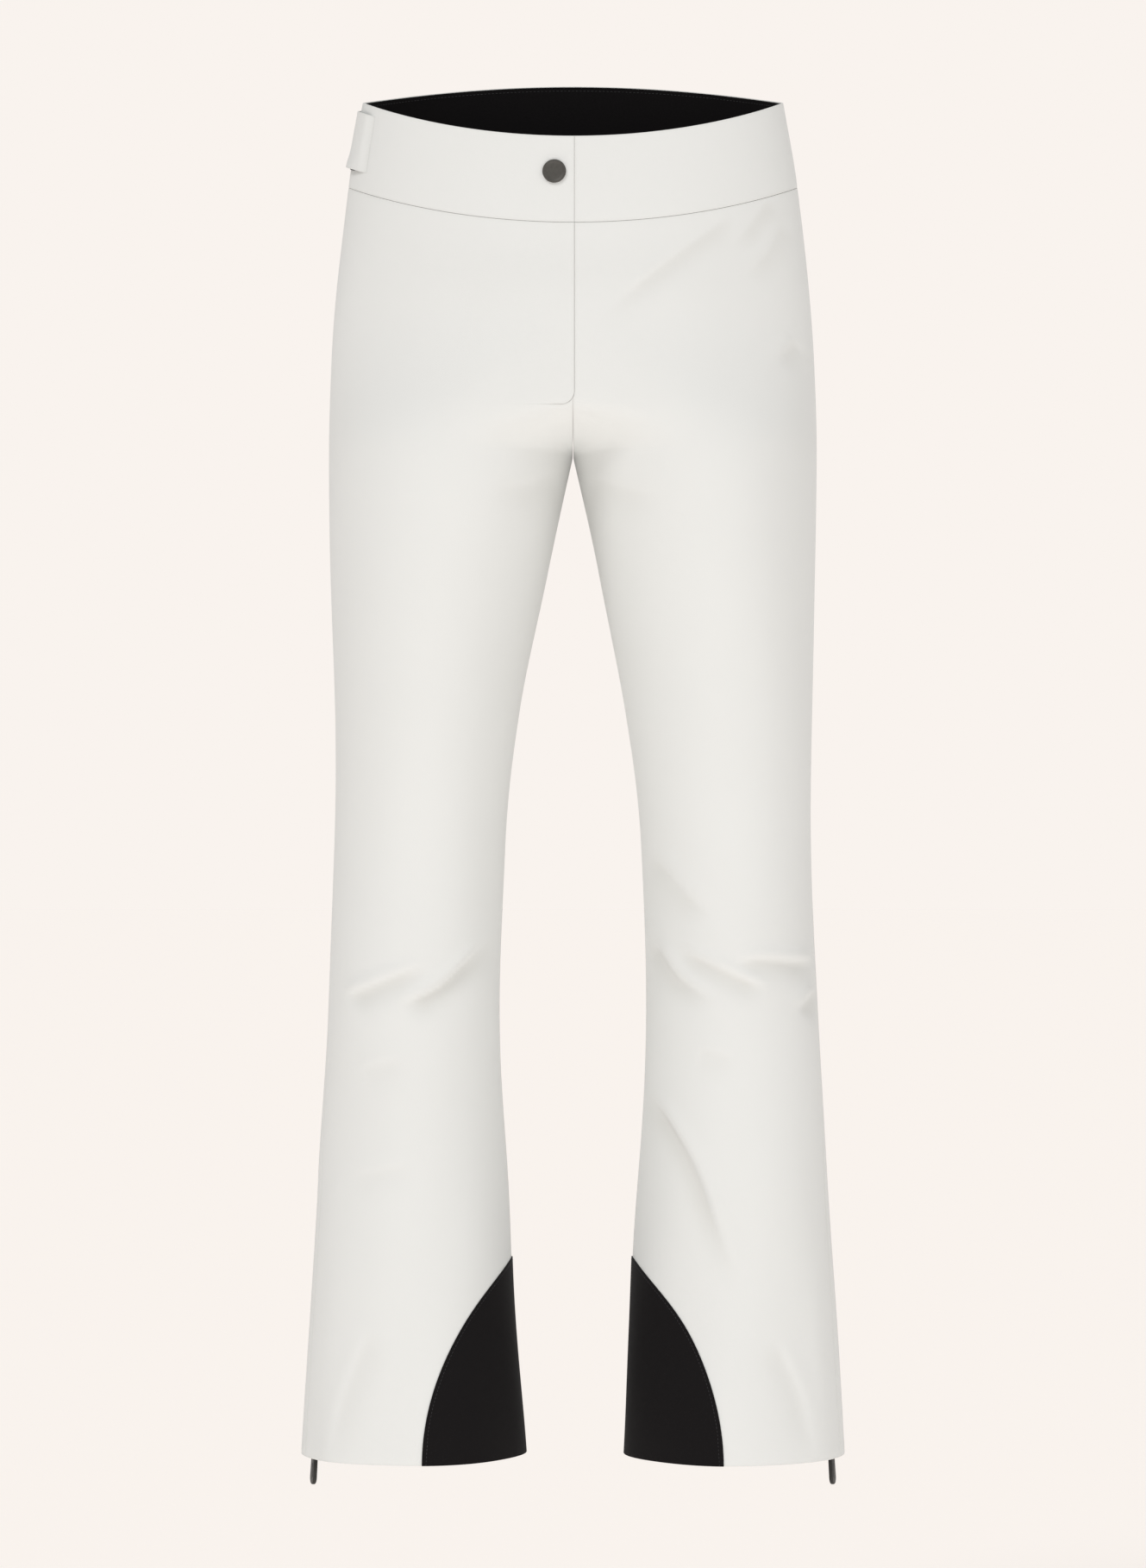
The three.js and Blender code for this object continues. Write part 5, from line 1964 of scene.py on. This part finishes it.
# ---- Gaiters ----
@dataclass
class Gaiter:
    """The snow gaiter inside each leg, gathered on to a ribbed elastic."""

    side: Side
    top: float = 235
    waist: float = 125
    bottom: float = 60
    inset: float = 34
    sewn: float = 3
    elastic: float = 22
    elastic_thick: float = 1.4
    radius: float = 60  # turns an angle round the leg into a length
    gathers: int = 46
    gather_depth: float = 1.7
    ribs: int = 140
    rib_depth: float = 0.3

    def ring(self, height: Array, columns: int, lift: Array, near: Array, far: Array) -> Cloth:
        """A closed ring of cloth round the leg.

        Args:
            height: Row heights above the hem, from the top down.
            columns: How many columns.
            lift: How far each place stands out.
            near: Depth of the outer face.
            far: Depth of the inner face.

        Returns:
            The cloth.
        """
        turn = (np.arange(columns) / columns * 2 - 1)[None] * math.pi
        level = (SKIN.hem_z + height)[:, None]
        ends = from_ends(height)[:, None]
        edge = np.broadcast_to(ends, (len(height), columns))
        angle = np.broadcast_to(turn, edge.shape)
        lay = Lay(self.side.value, level, angle, edge, angle * self.radius)
        return lay.cloth(near - lift, far - lift, closed=True)

    def build(self) -> None:
        """Makes the gaiter and its elastic."""
        height = self.top - spaced(self.top - self.bottom - self.elastic, 46)
        columns = self.gathers * 8
        turn = (np.arange(columns) / columns * 2 - 1)[None] * math.pi
        drawn = 1 - smoothstep(self.waist, self.top, height)[:, None]
        wander = 0.5 * np.sin(3 * turn + height[:, None] / 19)
        gather = np.sin(self.gathers * turn + wander) + 0.4 * np.sin(19 * turn + 1)
        lift = self.gather_depth * drawn**1.5 * gather
        near = self.sewn + (self.inset - self.sewn) * drawn
        cloth = self.ring(height, columns, lift, near, near + LINING_THICK)
        word = self.side.word
        Sewn(f"snow_gaiter_{word}", cloth, LINING, "lining_fabric", "gathered",
             rests_on=(f"gaiter_elastic_{word}",)).make()
        height = self.bottom + self.elastic - 0.3 - spaced(self.elastic - 0.3, 18)
        columns = self.ribs * 4
        turn = (np.arange(columns) / columns * 2 - 1)[None] * math.pi
        lift = self.rib_depth * np.sin(self.ribs * turn) * np.ones((len(height), 1))
        cloth = self.ring(height, columns, lift, self.inset, self.inset + self.elastic_thick)
        Sewn(f"gaiter_elastic_{word}", cloth, ELASTIC, "elastic", "stretched",
             rests_on=(f"snow_gaiter_{word}",)).make()
        self.stitches()

    def stitches(self) -> None:
        """Two rows of stitches that hold the gaiter to its elastic."""
        turn = np.linspace(-math.pi, math.pi, 240)
        rows = []
        for height in (self.bottom + 4, self.bottom + self.elastic - 4):
            level = np.full_like(turn, SKIN.hem_z + height)
            depth = self.inset + self.elastic_thick + self.rib_depth
            rows.append(path_on(self.side.value, level, turn, depth, inside=True))
        name = f"gaiter_elastic_stitches_{self.side.word}"
        made = Row(name, BLACK_THREAD, Unit.STITCH, 3.4, (1.3, 0.2, 0.16)).build(rows)
        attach(made, "pants_body")


# ---- Waist adjusters ----
@dataclass
class Adjuster:
    """A tab sewn to the waistband at its root, which a hook and loop patch holds shut."""

    side: Side
    root: float
    long: float = 72
    tall: float = 43
    drop: float = 7
    girth: float = 105
    flange: float = 5
    corner: float = 8
    stand: float = 1.75
    thick: float = 1.0
    curl: float = 1.6

    def spread(self, along: Array, level: Array) -> Array:
        """The skin angle at a distance along the tab."""
        return self.root - along / self.girth + 0 * level

    def strip(self, along: Array, top: float, bottom: float, ends: Array | None = None) -> Lay:
        """A grid round the waistband.

        Args:
            along: Distances from the root.
            top: Upper level.
            bottom: Lower level.
            ends: Where each row ends, if not at the last distance.

        Returns:
            The grid.
        """
        level = (top - spaced(top - bottom, 30))[:, None]
        last = along[-1] if ends is None else ends[:, None]
        share = (along - along[0]) / (along[-1] - along[0])
        grid = along[0] + (last - along[0]) * share[None]
        grid = np.broadcast_to(grid, (len(level), len(along)))
        beside = np.minimum(grid - along[0], last - grid)
        edge = np.minimum(beside, np.minimum(top - level, level - bottom))
        return Lay(self.side.value, level, self.spread(grid, level), edge, grid)

    def tab(self) -> None:
        """The tab's cloth, which bends just past its sewn root."""
        along = -self.flange + spaced(self.long + self.flange, 44)
        top, bottom = -self.drop, -self.drop - self.tall
        level = top - spaced(self.tall, 30)
        over = np.clip(self.corner - np.minimum(top - level, level - bottom), 0, self.corner)
        ends = self.long - self.corner + np.sqrt(self.corner**2 - over**2)
        lay = self.strip(along, top, bottom, ends)
        thick = self.thick * (0.12 + 0.88 * smoothstep(-self.flange, 4, lay.across))
        far = self.under(lay.across, lay.level)
        depth = far - thick
        middle = np.array(-self.height())
        start = DRAPE.at(self.side.value, middle, self.spread(np.array(-2.0), 0), 0)
        end = DRAPE.at(self.side.value, middle, self.spread(np.array(3.0), 0), 0)
        word = self.side.word
        Sewn(f"waist_tab_{word}", lay.cloth(depth, far), SHELL, "shell_fabric", "laid",
             blend=(f"waist_tab_{word}", start, end), rests_on=("waistband_back",)).make()

    def under(self, along: Array, level: Array) -> Array:
        """Depth of the tab's underside, which stands off the band and curls out low down."""
        low = smoothstep(-self.drop - self.tall + 16, -self.drop - self.tall, level)
        curl = self.curl * low * smoothstep(4, 16, along) * (1 - smoothstep(30, 46, along))
        return -0.04 - (self.stand - 0.04) * smoothstep(-2, 6, along) - curl

    def height(self) -> float:
        """How far below the waist edge the tab's middle lies."""
        return self.drop + self.tall / 2

    def patches(self) -> None:
        """The hook patch under the tab and the loop patch on the waistband."""
        word = self.side.word
        top, bottom = -self.drop - 4, -self.drop - self.tall + 4
        along = self.long - 30 + spaced(27, 30)
        hook = self.strip(along, top, bottom).cloth(-1.5, -1.05)
        Sewn(f"tab_hook_patch_{word}", hook, HOOK_TAPE, "hook_and_loop", "laid",
             body=f"waist_tab_{word}", rests_on=(f"waist_tab_{word}",)).make()
        along = 2.5 + spaced(self.long + 1.5, 44)
        lay = self.strip(along, top + 1, bottom - 4)
        share = (top + 1 - lay.level) / (top - bottom + 5)
        lay.level = lay.level - 1.1 * smoothstep(6, 22, lay.across) * share
        loop = lay.cloth(-0.8, -0.35)
        Sewn(f"tab_loop_patch_{word}", loop, HOOK_TAPE, "hook_and_loop", "laid",
             rests_on=("waistband_back",)).make()
        rows = []
        for offset in np.linspace(1.2, 25.8, 22):
            level = np.linspace(top - 1.2, bottom + 1.2, 30)
            angle = self.spread(self.long - 30 + offset, level)
            rows.append(path_on(self.side.value, level, angle, -1.0, inside=True))
        name = f"tab_hooks_{word}"
        made = Row(name, BLACK_THREAD, Unit.HOOK, 1.2, (0.16, 0.16, 0.07)).build(rows)
        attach(made, f"waist_tab_{word}")

    def stitches(self) -> None:
        """Edge stitching round the tab and a straight row of stitches across its root."""
        top, bottom = -self.drop - 2.2, -self.drop - self.tall + 2.2
        far = self.long - 2.2
        upper = [(7, top), (far - 7, top), (far - 1.5, top - 2), (far, top - 7)]
        lower = [(far, bottom + 7), (far - 1.5, bottom + 2), (far - 7, bottom), (7, bottom)]
        moving = self.line(upper + lower)
        fixed = self.line([(-3.6, top), (-3.6, bottom)])
        word = self.side.word
        for name, rows, body in (
            (f"waist_tab_stitches_{word}", [moving], f"waist_tab_{word}"),
            (f"waist_tab_root_stitches_{word}", [fixed], "pants_body"),
        ):
            made = Row(name, WHITE_THREAD, Unit.STITCH, 2.6, (1.0, 0.15, 0.12)).build(rows)
            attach(made, body)

    def line(self, corners: list[tuple[float, float]]) -> tuple[Array, Array]:
        """A stitch path over the tab through (along, level) corners."""
        knots = np.array(corners, float)
        at = np.linspace(0, len(knots) - 1, 12 * len(knots))
        along, level = (np.interp(at, range(len(knots)), knots[:, k]) for k in (0, 1))
        thick = self.thick * (0.12 + 0.88 * smoothstep(-self.flange, 4, along))
        depth = self.under(along, level) - thick - 0.04
        angle = self.spread(along, level)
        return path_on(self.side.value, level, angle, depth)

    def build(self) -> None:
        """Makes the adjuster."""
        self.tab()
        self.patches()
        self.stitches()


# ---- Snap, fly slider and carried hardware ----
@dataclass
class Closure:
    """The snap's cap, the fly's slider and puller, and the small metal parts left as they are."""

    snap_x: float = -14
    snap_drop: float = 27
    fly: Fly = field(default_factory=Fly)
    slider_tall: float = 9
    slider_width: float = 8
    slider_gap: float = 2.5
    puller_long: float = 16
    puller_wide: float = 5.2

    def cap(self) -> None:
        """The snap's cap: a shallow dish with a rolled rim."""
        angle = float(SKIN.angle_at_x(np.array(-self.snap_drop), np.array(-self.snap_x)))
        spot = Spot.on(-1, -self.snap_drop, angle, 0)
        shape = Shape()
        dish = [(0, 1.35), (3, 1.36), (5.6, 1.4), (6.5, 1.5)]
        rim = [(7.0, 1.72), (7.5, 1.98), (8.0, 2.05), (8.45, 1.95), (8.75, 1.68), (8.85, 1.3)]
        under = [(8.75, 0.85), (8.4, 0.5), (7.9, 0.32), (0, 0.3)]
        shape.lathe(dish + rim + under)
        made = shape.build("snap_cap", SNAP_METAL, spot)
        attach(made, "fly_flap")
        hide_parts("snap_cap")

    def slider(self) -> None:
        """The fly zip's slider and its flat puller."""
        level = self.fly.level_for(-self.fly.zip_top - self.slider_tall / 2)
        angle = float(SKIN.angle_at_x(np.array(level), np.array(-self.fly.zip_x)))
        spot = Spot.on(-1, level, angle, self.fly.tape_depth + self.fly.tape / 2)
        made = Slider(self.slider_width, self.slider_tall, self.slider_gap).shape()
        body = made.build("fly_zip_slider", ZIP_METAL, spot)
        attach(body, "fly_zip_slider")
        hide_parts("fly_zip_slider")
        radius = self.puller_wide / 2
        turn = np.linspace(math.pi, 2 * math.pi, 13)
        low = radius - self.puller_long
        foot = np.stack([radius * np.cos(turn), low + radius * np.sin(turn)], 1)
        top = np.array([(0.7 * radius, 0.0), (-0.7 * radius, 0.0)])
        outline = np.concatenate([foot, top]) + [0, -self.slider_tall / 2 - 0.3]
        plate = Shape()
        front = self.slider_gap / 2
        plate.plate(outline, front, front + 0.7, 0.2)
        puller = plate.build("fly_zip_puller", ZIP_METAL, spot)
        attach(puller, "fly_zip_slider")
        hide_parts("fly_zip_puller")

    def dress(self) -> None:
        """Finishes the metal parts whose shape stays as it is."""
        finishes = {
            "fly_zip_bottom_stop": ZIP_METAL,
            "snap_socket": SNAP_METAL,
            "snap_stud": SNAP_METAL,
            "snap_stud_back": SNAP_METAL,
            "hem_zip_top_stop_right": ZIP_METAL,
            "hem_zip_top_stop_left": ZIP_METAL,
        }
        for name, finish in finishes.items():
            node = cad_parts[name]
            node.data.materials.clear()
            node.data.materials.append(finish.material())

    def build(self) -> None:
        """Makes the closures."""
        self.cap()
        self.slider()
        self.dress()


@dataclass
class Topstitching:
    """Stitch rows that belong to no single part: inside the waist edge and inside the hems."""

    drop: float = 3.4
    hem_rise: float = 22

    def waist(self) -> None:
        """Dark stitches along the inside of the waist edge."""
        depth = 2.3 + 0.05
        rows = []
        for side in Side:
            for face, end in ((Face.FRONT, 38), (Face.BACK, 0)):
                last = math.pi / 2 * face.value
                if face is Face.FRONT:
                    last = float(SKIN.angle_at_x(np.array(-self.drop), np.array(float(end))))
                first = 0.03 * face.value
                angle = np.linspace(first, last, 90)
                level = np.full_like(angle, -self.drop)
                rows.append(path_on(side.value, level, angle, depth, inside=True))
        stitch = (1.15, 0.22, 0.2)
        made = Row("waist_edge_stitches", BLACK_THREAD, Unit.STITCH, 3.0, stitch).build(rows)
        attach(made, "pants_body")

    def hems(self) -> None:
        """White stitches that hold the turned up hems."""
        for side in Side:
            rows = []
            for face in Face:
                start = SKIN.zip_turn + face.value * 26 / 85
                angle = np.linspace(start, face.value * (math.pi - 0.02), 120)
                level = np.full_like(angle, SKIN.hem_z + self.hem_rise)
                depth = CLOTH + 0.5 + 0.04
                rows.append(path_on(side.value, level, angle, depth, inside=True))
            name = f"hem_stitches_{side.word}"
            made = Row(name, WHITE_THREAD, Unit.STITCH, 3.0, (1.15, 0.18, 0.14)).build(rows)
            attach(made, "pants_body")

    def build(self) -> None:
        """Makes the rows."""
        self.waist()
        self.hems()


# ---- Studio ----
@dataclass(frozen=True)
class Sun:
    """A wide, soft sun, in degrees: azimuth from the front towards +X, height from the horizon."""

    name: str
    strength: float
    azimuth: float
    height: float
    spread: float

    def on_floor(self) -> float:
        """How brightly it lights a white floor."""
        return self.strength * max(math.sin(math.radians(self.height)), 0) / math.pi

    def add(self) -> None:
        """Puts the sun in the scene."""
        data = bpy.data.lights.new(self.name, "SUN")
        data.energy = self.strength
        data.angle = math.radians(self.spread)
        made = bpy.data.objects.new(self.name, data)
        a, e = math.radians(self.azimuth), math.radians(self.height)
        towards = Vector((math.sin(a) * math.cos(e), -math.cos(a) * math.cos(e), math.sin(e)))
        made.rotation_euler = towards.to_track_quat("Z", "Y").to_euler()
        bpy.context.scene.collection.objects.link(made)


@dataclass
class Studio:
    """The floor, the soft light and the camera in front of the garment."""

    distance: float = 4.2
    seen_height: float = 1.2
    eye_z: float = -0.522
    sensor: float = 36
    floor_z: float = -1.3
    backdrop: tuple[float, float, float] = (0.947, 0.896, 0.855)
    fill: float = 0.46
    suns: tuple[Sun, ...] = (
        Sun("key", 0.92, -35, 46, 22),
        Sun("side", 0.4, 55, 30, 40),
        Sun("bounce", 0.5, 5, -20, 40),
        Sun("under", 0.5, 0, -55, 60),
        Sun("back", 0.55, 170, 24, 40),
    )
    floor_share: float = 0.85

    def camera(self) -> None:
        """A level camera in front of the garment's middle."""
        data = bpy.data.cameras.new("camera")
        data.sensor_width = self.sensor
        data.lens = self.sensor * self.distance / self.seen_height
        data.dof.use_dof = False
        made = bpy.data.objects.new("camera", data)
        made.location = (0, -self.distance, self.eye_z)
        made.rotation_euler = (math.pi / 2, 0, 0)
        bpy.context.scene.collection.objects.link(made)
        bpy.context.scene.camera = made

    def world(self) -> None:
        """Even light all round, seen as the pale backdrop."""
        world = bpy.data.worlds.new("studio")
        bpy.context.scene.world = world
        world.use_nodes = True
        nodes, links = world.node_tree.nodes, world.node_tree.links
        nodes.clear()
        seen, light = nodes.new("ShaderNodeBackground"), nodes.new("ShaderNodeBackground")
        seen.inputs["Color"].default_value = (*self.backdrop, 1)
        light.inputs["Color"].default_value = (1, 0.995, 0.985, 1)
        light.inputs["Strength"].default_value = self.fill
        mix, path = nodes.new("ShaderNodeMixShader"), nodes.new("ShaderNodeLightPath")
        result = nodes.new("ShaderNodeOutputWorld")
        links.new(path.outputs["Is Camera Ray"], mix.inputs[0])
        links.new(light.outputs[0], mix.inputs[1])
        links.new(seen.outputs[0], mix.inputs[2])
        links.new(mix.outputs[0], result.inputs["Surface"])

    def floor(self) -> None:
        """A plain pale floor, far below the hems."""
        size = 30
        mesh = bpy.data.meshes.new("floor")
        corners = [(-size, -size), (size, -size), (size, size), (-size, size)]
        mesh.from_pydata([(x, y, self.floor_z) for x, y in corners], [], [(0, 1, 2, 3)])
        made = bpy.data.objects.new("floor", mesh)
        material = bpy.data.materials.new("floor")
        material.use_nodes = True
        shader = material.node_tree.nodes["Principled BSDF"]
        light = self.fill + sum(sun.on_floor() for sun in self.suns)
        rest = 1 - self.floor_share * light
        base = (c * self.floor_share for c in self.backdrop)
        shader.inputs["Base Color"].default_value = (*base, 1)
        shader.inputs["Emission Color"].default_value = (*(c * rest for c in self.backdrop), 1)
        shader.inputs["Emission Strength"].default_value = 1.0
        shader.inputs["Roughness"].default_value = 1.0
        shader.inputs["Specular IOR Level"].default_value = 0.0
        mesh.materials.append(material)
        made.visible_shadow = False
        bpy.context.scene.collection.objects.link(made)

    def build(self) -> None:
        """Sets the studio up."""
        self.camera()
        self.world()
        for sun in self.suns:
            sun.add()
        self.floor()
        bpy.context.scene.view_settings.view_transform = "Standard"


def main() -> None:
    """Builds the studio and then the garment, piece by piece."""
    logging.basicConfig(level=logging.INFO, format="%(message)s", stream=sys.stdout)
    Studio().build()
    parts = [Body(), Waistband(), Fly(), Closure(), Topstitching()]
    roots = {Side.RIGHT: math.radians(21), Side.LEFT: math.radians(-10)}
    for side in Side:
        parts += [Adjuster(side, roots[side]), AnkleGuard(side), HemZip(side), Gaiter(side)]
    for part in parts:
        part.build()
        log.info("%s done", type(part).__name__)


if __name__ == "__main__":
    main()
